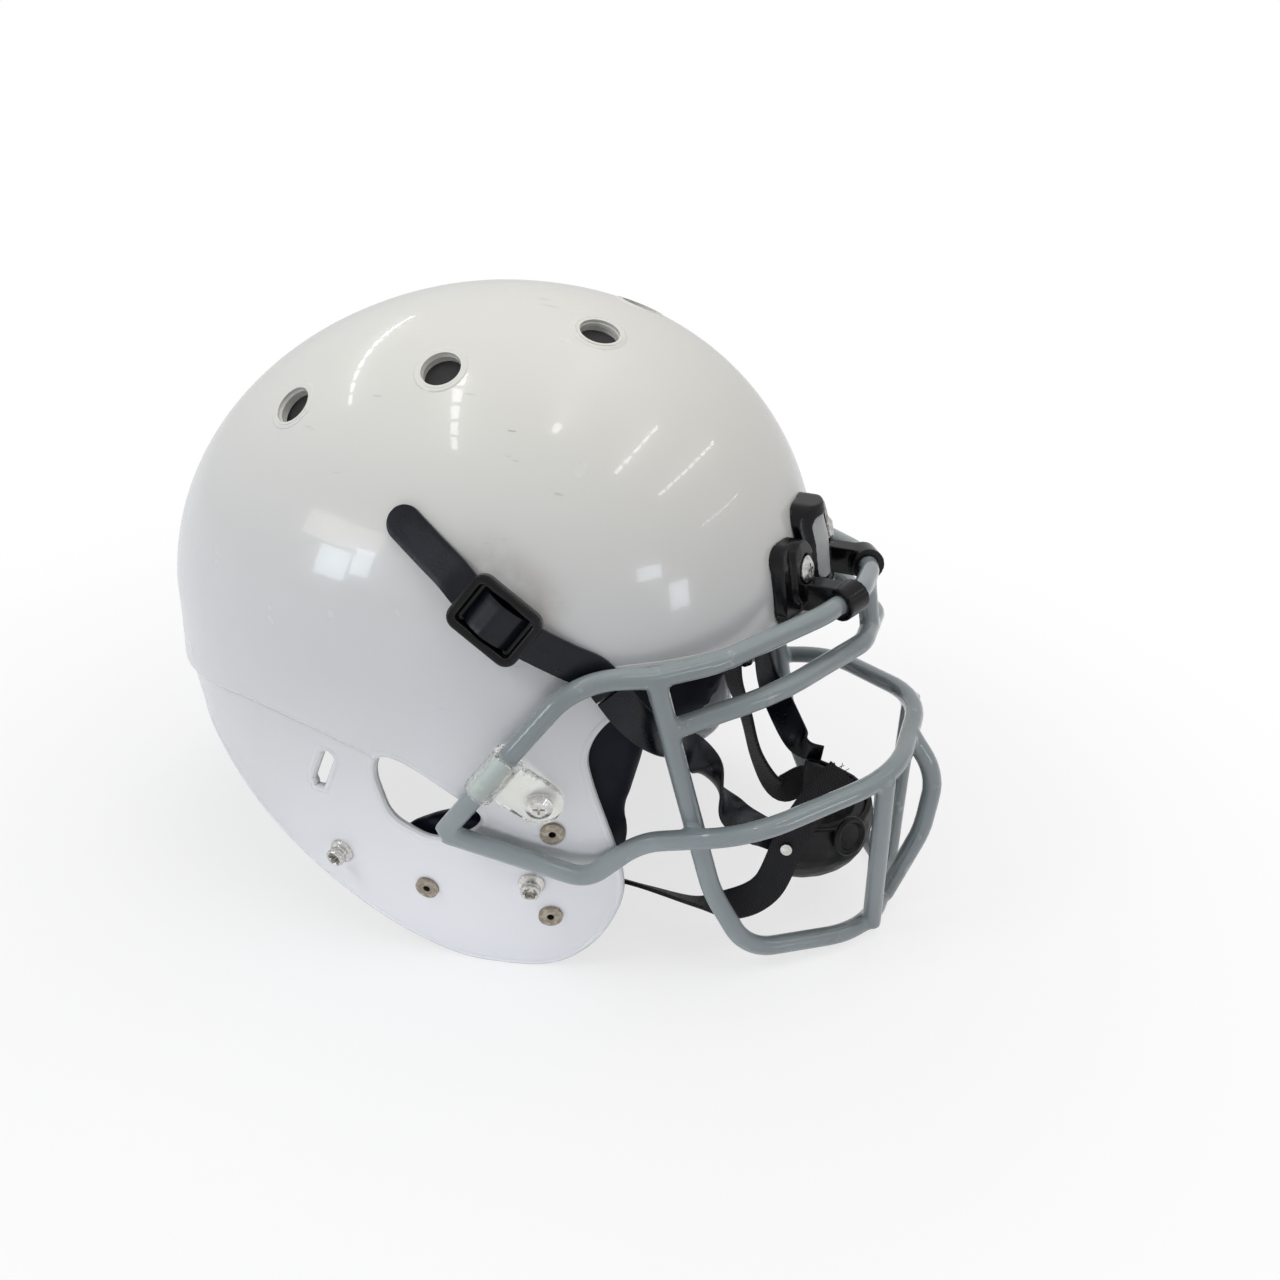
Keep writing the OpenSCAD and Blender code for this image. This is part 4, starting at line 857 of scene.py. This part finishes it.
stud = turned(stud_profile, "snap_stud")
place_vertices(stud, starred)
studs = [seated(stud, point, normal) for point, normal in side_seats(stud_places)]
bpy.data.objects.remove(stud, do_unlink=True)
dress(joined(studs, "snap_stud_set"), steel, "steel", "helmet", "snap_studs", angle=45)

# Lining pads.
# Foam cushions on the inner side of the shell, in smooth black cloth, or in dark vinyl at the jaws.
# Each is blown up a little by simulation, and no vertex moves further than its cap.
pad_cloth = Finish("black_pad_cloth", 0.75, Sheen_Weight=0.15, Sheen_Roughness=0.5)
pad_cloth.mottle((0.014, 0.013, 0.015), (0.03, 0.028, 0.03), 60, 3)
pad_cloth.grain(1500, 2, 0.0001)
jaw_vinyl = Finish("dark_pad_vinyl", 0.5, Specular_IOR_Level=0.15)
jaw_vinyl.mottle((0.003, 0.0035, 0.009), (0.007, 0.008, 0.016), 50, 3)
jaw_vinyl.dull(0.42, 0.15, 80)
jaw_vinyl.grain(800, 3, 0.00012)
pressure, blow_frames = 4, 20


def cushion(node, name, voxel, cap, start_in=0.0012):
    """A CAD pad as soft cloth: remeshed, shrunk a little, blown up by simulation, and capped."""
    piece = moulded(node, name, voxel, 3)
    for vertex in piece.data.vertices:
        vertex.co -= vertex.normal * start_in
    rest = np.array([v.co for v in piece.data.vertices])
    only(piece)
    blown = piece.modifiers.new("cloth", "CLOTH")
    blown.settings.use_pressure = True
    blown.settings.uniform_pressure_force = pressure
    blown.settings.effector_weights.gravity = 0
    blown.point_cache.frame_start, blown.point_cache.frame_end = 1, blow_frames
    for step in range(1, blow_frames + 1):
        scene.frame_set(step)
    bpy.ops.object.modifier_apply(modifier=blown.name)
    scene.frame_set(1)
    for vertex, old in zip(piece.data.vertices, rest):
        move = np.array(vertex.co) - old
        far = np.linalg.norm(move)
        if far > cap:
            vertex.co = Vector(old + move * cap / far)
    piece.data.update()
    modify(piece, "SUBSURF", levels=1, render_levels=1)
    return piece


for node in ("crown_pad", "brow_pad", "side_pad_right", "side_pad_left", "nape_pad"):
    dress(cushion(node, f"{node}_cloth", 0.005, 0.0015), pad_cloth, "pad", "helmet", node)
for node in ("jaw_pad_right", "jaw_pad_left"):
    dress(cushion(node, f"{node}_vinyl", 0.0045, 0.0012), jaw_vinyl, "jaw_pad", "helmet", node)

# Chin cup.
# A hard black cup with a round moulded ring on its front and a soft liner inside.
satin = Finish("satin_black_cup", 0.4, Specular_IOR_Level=0.3)
satin.mottle((0.004, 0.004, 0.005), (0.014, 0.014, 0.015), 70, 4, 0.4)
satin.dull(0.3, 0.2, 200)
satin.grain(500, 4, 0.00012)
cup_middle, lobe_stretch = Vector(mm(0, -150, 41)), 1.1


def deepened(co):
    """Draws the cup's lower lobe down."""
    rise = co.z - cup_middle.z
    return Vector((co.x, co.y, cup_middle.z + rise * (lobe_stretch if rise < 0 else 1)))


cup = moulded("chin_cup", "chin_cup_moulding", 0.0007, 6)
place_vertices(cup, deepened)
dress(cup, satin, "cup", "chin_strap", "chin_cup")
dress(moulded("cup_ring", "cup_boss", 0.0004, 4), satin, "cup", "chin_strap", "cup_ring")
cup_foam = Finish("grey_cup_foam", 0.8)
cup_foam.feed("Base Color", cup_foam.blend(cup_foam.noise(300, 3), (0.03, 0.03, 0.03), (0.07, 0.07, 0.07)))
cup_foam.grain(1300, 2, 0.0002)
liner = cushion("cup_liner", "cup_liner_foam", 0.002, 0.0003, 0.0003)
dress(liner, cup_foam, "liner", "chin_strap", "cup_liner")

# Chin strap.
# Flat black strap, 14 mm wide and 1.6 mm thick, threaded through its buckles and riveted to the cup.
# The upper and cup straps are smooth, and the lower ones are woven, with loose threads at their cut ends.
# Each follows the route of its solid, with rounded edges.
strap_width, strap_thick, strap_edge_radius, points_across = 0.014, 0.0016, 0.0005, 6
crease = radians(50)


def through(points, steps):
    """A smooth curve through points."""
    points = [Vector(p) for p in points]
    last = len(points) - 1
    out = []
    for i in range(last):
        a, b, c, d = (points[min(max(j, 0), last)] for j in (i - 1, i, i + 1, i + 2))
        for k in range(steps):
            t = k / steps
            square, cube = (2 * a - 5 * b + 4 * c - d) * t * t, (3 * b - a - 3 * c + d) * t ** 3
            out.append(0.5 * (2 * b + (c - a) * t + square + cube))
    return out + [points[-1]]


def rounded_start(path, looks):
    """Resamples a path's start so that its end can be cut round, with each point's share of the width."""
    reach, turns = strap_width / 2, [radians(a) for a in range(8, 90, 9)]
    ahead = (path[1] - path[0]).normalized() * reach
    points = [path[0] + ahead * (1 - cos(turn)) for turn in turns]
    first = next(i for i, p in enumerate(path) if (p - path[0]).length > reach)
    share = [sin(turn) for turn in turns] + [1] * (len(path) - first)
    return points + path[first:], [looks[0]] * len(turns) + looks[first:], share


def webbing(name, route, faces, steps=10, round_end=False):
    """A flat strip along a route, each point with the direction that its face looks to."""
    path, looks = through(route, steps), through(faces, steps)
    share = [1] * len(path)
    if round_end:
        path, looks, share = rounded_start(path, looks)
    last = len(path) - 1
    bpy.ops.mesh.primitive_grid_add(x_subdivisions=points_across, y_subdivisions=last, size=2, calc_uvs=True)
    piece = bpy.context.object
    piece.name = name
    run = [0.0]
    for a, b in zip(path, path[1:]):
        run.append(run[-1] + (b - a).length)
    frames = []
    for i, point in enumerate(path):
        ahead = (path[min(i + 1, last)] - path[max(i - 1, 0)]).normalized()
        frames.append((point, ahead.cross(looks[i]).normalized() * share[i]))
    for uv in piece.data.uv_layers[0].data:
        uv.uv = (uv.uv[0] * strap_width * 1000, run[round(uv.uv[1] * last)] * 1000)
    for vertex in piece.data.vertices:
        point, side = frames[round((vertex.co.y + 1) / 2 * last)]
        vertex.co = point + side * (vertex.co.x * strap_width / 2)
    piece.data.update()
    modify(piece, "SOLIDIFY", thickness=strap_thick, offset=0)
    modify(piece, "BEVEL", width=strap_edge_radius, segments=3, limit_method="ANGLE", angle_limit=crease)
    return piece


vinyl = Finish("smooth_black_strap", 0.3, Specular_IOR_Level=0.3)
vinyl.mottle((0.0055, 0.006, 0.01), (0.012, 0.013, 0.02), 80, 4, 0.35)
vinyl.dull(0.25, 0.14, 160, 4)
vinyl.grain(900, 3, 0.00005)
web_cloth = Finish("black_webbing", 0.55, Specular_IOR_Level=0.3, Sheen_Weight=0.06)
rib_turn, thread_turn, thread_lean = 4.2, 5.2, 0.55
u, v, _ = web_cloth.axes(web_cloth.node("ShaderNodeUVMap"))
ribs = (v * rib_turn).maths("SINE") * 0.5 + 0.5
threads = ((u + v * thread_lean) * thread_turn).maths("SINE") * 0.5 + 0.5
raised = ribs * 0.4 + threads * 0.4
web_cloth.feed("Base Color", web_cloth.blend(raised, (0.005, 0.005, 0.006), (0.016, 0.016, 0.018)))
web_cloth.feed("Roughness", 0.6 - threads * 0.16)
web_cloth.bump(ribs * 0.5 + threads * 0.7, 0.00018)

buckle_length, end_bar, middle_bar, buckle_thick, bar_clear = 0.029, 0.0026, 0.0096, 0.0036, 0.0004
under, over = -strap_thick / 2 - bar_clear, buckle_thick + strap_thick / 2 + bar_clear
tail_reach, tail_sink = 0.021, 0.001
weave_start = 0.001 - buckle_length / 2
weave_half = [(weave_start, under - 0.0005), (weave_start + end_bar, under + 0.0005),
              (-middle_bar / 2 - 0.0016, over - 0.0012), (-middle_bar / 4, over + 0.0006)]
weave = weave_half + [(0, over + 0.0012)] + [(-a, b) for a, b in reversed(weave_half)]


def run_of(face, run):
    """A direction turned into the plane of a face."""
    return (run - face * run.dot(face)).normalized()


def woven(plate, face, run):
    """The strap's way through a buckle: under its end bars and over its middle bar."""
    along = run_of(face, run)
    return [plate + along * a + face * b for a, b in weave]


def woven_end(plate, face, run):
    """The same way with the strap's cut end beyond it."""
    return woven(plate, face, run) + [plate + run_of(face, run) * tail_reach + face * (under - tail_sink)]


lift, plate_rise = 0.0005 + strap_thick / 2, 0.00665
upper_stud = stud_places[2]
upper_face, upper_plate = side_normal(*upper_stud), on_side(*upper_stud, plate_rise)
upper_way = on_side(*mm(-55, 162.5)) - on_side(*mm(-34, 177))
flap_edge = Vector(mm(-95.9, -84.8, 140))
flex_way, flex_face, flex_gap = Vector((0.24, -0.56, -0.79)).normalized(), Vector((-0.8, -0.55, 0.15)), 0.0012
tail = [mm(1.5, 199.5), mm(-8, 193.6), mm(-17, 188), mm(-26, 182.4)]
below = [mm(-61, 157.6), mm(-69, 153), mm(-78, 147.8)]
tail_rise, below_rise = (0, 0.0002, 0.0012, 0.0034), (0.0022, 0.0008, -0.0002)
upper_route = [on_side(*p, lift + rise) for p, rise in zip(tail, tail_rise)]
upper_route += woven(upper_plate, upper_face, upper_way)
upper_route += [on_side(*p, lift + rise) for p, rise in zip(below, below_rise)]
upper_route += [flap_edge - flex_way * flex_gap / 2]
upper_faces = [side_normal(*p) for p in tail] + [upper_face] * len(weave)
upper_faces += [side_normal(*p) for p in below] + [flex_face]
cup_wide, cup_deep, cup_tall, cup_wrap, cup_lift = 0.034, 0.029, 0.027, 0.01, 0.0008 + strap_thick / 2


def cup_spot(side, to_rim, up):
    """A place of a strap's middle on the cup's side."""
    fall, around = radians(to_rim), radians(180 - up if side < 0 else up)
    wrap = cup_wrap * sin(fall) ** 4 * cos(around) ** 2
    return cup_middle + Vector(((cup_wide + cup_lift) * sin(fall) * cos(around),
                                -(cup_deep + cup_lift) * cos(fall) + wrap,
                                (cup_tall + cup_lift) * sin(fall) * sin(around)))


def offsets(start, *steps):
    """Points at steps in millimetres from a place."""
    return [start + Vector(mm(*s)) for s in steps]


cup_start = flap_edge + flex_way * flex_gap / 2
near_route = [cup_start, *offsets(flap_edge, (2.4, -5.5, -8.5), (8.4, -10.2, -17.5), (17.4, -14.5, -26.5))]
near_route += offsets(cup_middle, (-61, 49.5, 61), (-49, 45, 51), (-45, 39, 42), (-43, 33.5, 31),
                      (-43.5, 25.5, 20), (-39.5, 16.5, 12))
near_route += [cup_spot(-1, 92, 14), cup_spot(-1, 78, 12)]
near_faces = [flex_face, (-0.8, -0.55, 0.2), (-0.75, -0.6, 0.25), (-0.2, -0.95, 0.3), (-0.45, -0.7, 0.5),
              (-0.75, -0.3, 0.6), (-0.75, 0.15, 0.5), (-0.49, 0.73, -0.47), (0.6, 0.5, -0.6),
              (0.85, 0.25, -0.45), (0.98, 0, -0.2), (0.98, 0, -0.2)]
far_route = [cup_start, *offsets(flap_edge, (2.4, -5.5, -8.5), (9.4, -10.1, -17.5), (18.4, -14.3, -28))]
far_route = [mirrored(p) for p in far_route]
far_route += offsets(cup_middle, (67, 44, 51), (57, 36.5, 34), (45, 26, 25), (37, 16, 15))
far_route += [cup_spot(1, 92, 24), cup_spot(1, 78, 22)]
far_faces = [mirrored(flex_face), (0.8, -0.55, 0.2), (0.75, -0.6, 0.25), (0.4, -0.85, 0.3), (0.6, -0.7, 0.1),
             (0.7, -0.5, -0.2), (0.8, -0.1, -0.4), (0.9, 0, -0.1), (0.9, 0, 0.35), (0.9, 0, 0.35)]
near_cross, near_cross_face = cup_middle + Vector(mm(-37, 2.5, 4)), Vector((-0.97, -0.1, 0.2)).normalized()
near_plate, near_face, near_way = Vector(mm(-56, -60, 24)), Vector((0.6, 0, 0.8)), Vector((0, 1, 0))
lower_near = offsets(cup_middle, (-17, -14.9, 35.1), (-30, -6.3, 25.6), (-35.8, -0.8, 14.5)) + [near_cross]
lower_near += offsets(cup_middle, (-44, 8, -13.5), (-53, 19, -19))
lower_near += offsets(near_plate, (-3, -55, -1.5), (-3, -32, -0.5))
lower_near += woven_end(near_plate, near_face, near_way)
lower_near_faces = [(-0.7, -0.1, 0.7), (-0.75, -0.1, 0.65), (-0.9, -0.1, 0.45), near_cross_face,
                    (-0.8, -0.2, 0.55), (-0.45, -0.1, 0.85), (0.4, 0, 0.9)]
lower_near_faces += [near_face] * (len(weave) + 2)
far_cross, far_cross_face = cup_spot(1, 78, -10), Vector((0.98, 0, -0.2)).normalized()
far_plate, far_way = cup_middle + Vector(mm(46, 54, 57)), Vector((0.15, 0.3, 1))
far_face = Vector((0.75, -0.65, 0.1)).normalized()
lower_far = offsets(far_cross, (-0.8, -6, 0), (0, 0, 0), (0.6, 7, -2))
lower_far += offsets(cup_middle, (32, 21, -13), (34, 33, 1), (41, 42, 19), (41.5, 49, 35))
lower_far += woven_end(far_plate, far_face, far_way)
lower_far_faces = [far_cross_face] * 3 + [(0.9, -0.3, 0.1), (0.7, -0.6, 0.3), (0.65, -0.65, 0.3)]
lower_far_faces += [far_face] * (len(weave) + 2)
tray_length, tray_width, tray_height, tray_sink = 0.031, 0.0238, 0.0056, 0.0004
tray_corner, tray_wall, tray_depth, tray_edge_radius = 0.0052, 0.0036, 0.0042, 0.0011
thread_count, thread_reach, thread_radius = 9, 0.0032, 0.00016


def snap_buckle(name, plate, face, run):
    """A deep rounded frame with a closed floor: a block with round corners, hollowed from its top."""
    bpy.ops.mesh.primitive_cube_add(size=1)
    piece = bpy.context.object
    piece.name = name
    piece.data.transform(Matrix.Diagonal((tray_length, tray_width, tray_height, 1)))

    def upright(edge):
        """Whether an edge of the block runs up."""
        a, b = (piece.data.vertices[i].co for i in edge.vertices)
        return abs(a.z - b.z) > 1e-4

    start_edit(piece, "EDGE", upright)
    bpy.ops.mesh.bevel(offset=tray_corner, segments=8, affect="EDGES")
    end_edit()
    start_edit(piece, "FACE", lambda face: face.normal.z > 0.9)
    bpy.ops.mesh.inset(thickness=tray_wall)
    bpy.ops.mesh.extrude_region_move(TRANSFORM_OT_translate={"value": (0, 0, -tray_depth)})
    end_edit()
    modify(piece, "BEVEL", width=tray_edge_radius, segments=4, limit_method="ANGLE", angle_limit=crease)
    along = run_of(face, run)
    turn = Matrix((along, face.cross(along), face)).transposed().to_4x4()
    piece.data.transform(Matrix.Translation(plate + face * (tray_height / 2 - tray_sink)) @ turn)
    return piece


def frayed(route, faces):
    """Loose threads at the cut end of a strap."""
    start, ahead = Vector(route[0]), (Vector(route[1]) - Vector(route[0])).normalized()
    face = Vector(faces[0]).normalized()
    side = ahead.cross(face).normalized()
    threads = []
    for k in range(thread_count):
        share = (k + 0.5) / thread_count * 2 - 1
        root = start + side * share * strap_width * 0.47 + ahead * 0.001
        reach = thread_reach * (0.55 + 0.45 * sin(5.3 * k))
        bend = side * 0.0016 * sin(2.7 * k + 1) + face * 0.0014 * cos(3.1 * k)
        knee = root - ahead * (0.001 + reach * 0.5) + bend * 0.4
        path = [root, knee, root - ahead * (0.001 + reach) + bend]
        threads.append(rod(through(path, 4), thread_radius, 1))
    return threads


for side, flip in (("right", Vector), ("left", mirrored)):
    face = flip(upper_face).normalized()
    buckle = snap_buckle(f"strap_buckle_{side}", flip(upper_plate), face, flip(upper_way))
    dress(buckle, black, "black_plastic", "helmet", f"upper_buckle_{side}", angle=40)
left_route, left_faces = ([mirrored(Vector(p)) for p in points] for points in (upper_route, upper_faces))
for name, route, faces, body, node in (
        ("upper_webbing_right", upper_route, upper_faces, "helmet", "upper_strap_right"),
        ("upper_webbing_left", left_route, left_faces, "helmet", "upper_strap_left"),
        ("cup_webbing_right", near_route, near_faces, "chin_strap", "cup_strap_right"),
        ("cup_webbing_left", far_route, far_faces, "chin_strap", "cup_strap_left"),
        ("lower_webbing_right", lower_near, lower_near_faces, "near_lower_strap", "lower_strap_right"),
        ("lower_webbing_left", lower_far, lower_far_faces, "far_lower_strap", "lower_strap_left")):
    loose = node.startswith("lower")
    strip = webbing(name, route, faces, round_end=node.startswith("upper"))
    if loose:
        strip = joined([strip, *frayed(route, faces)], name)
    dress(strip, web_cloth if loose else vinyl, "webbing", body, node, angle=40)
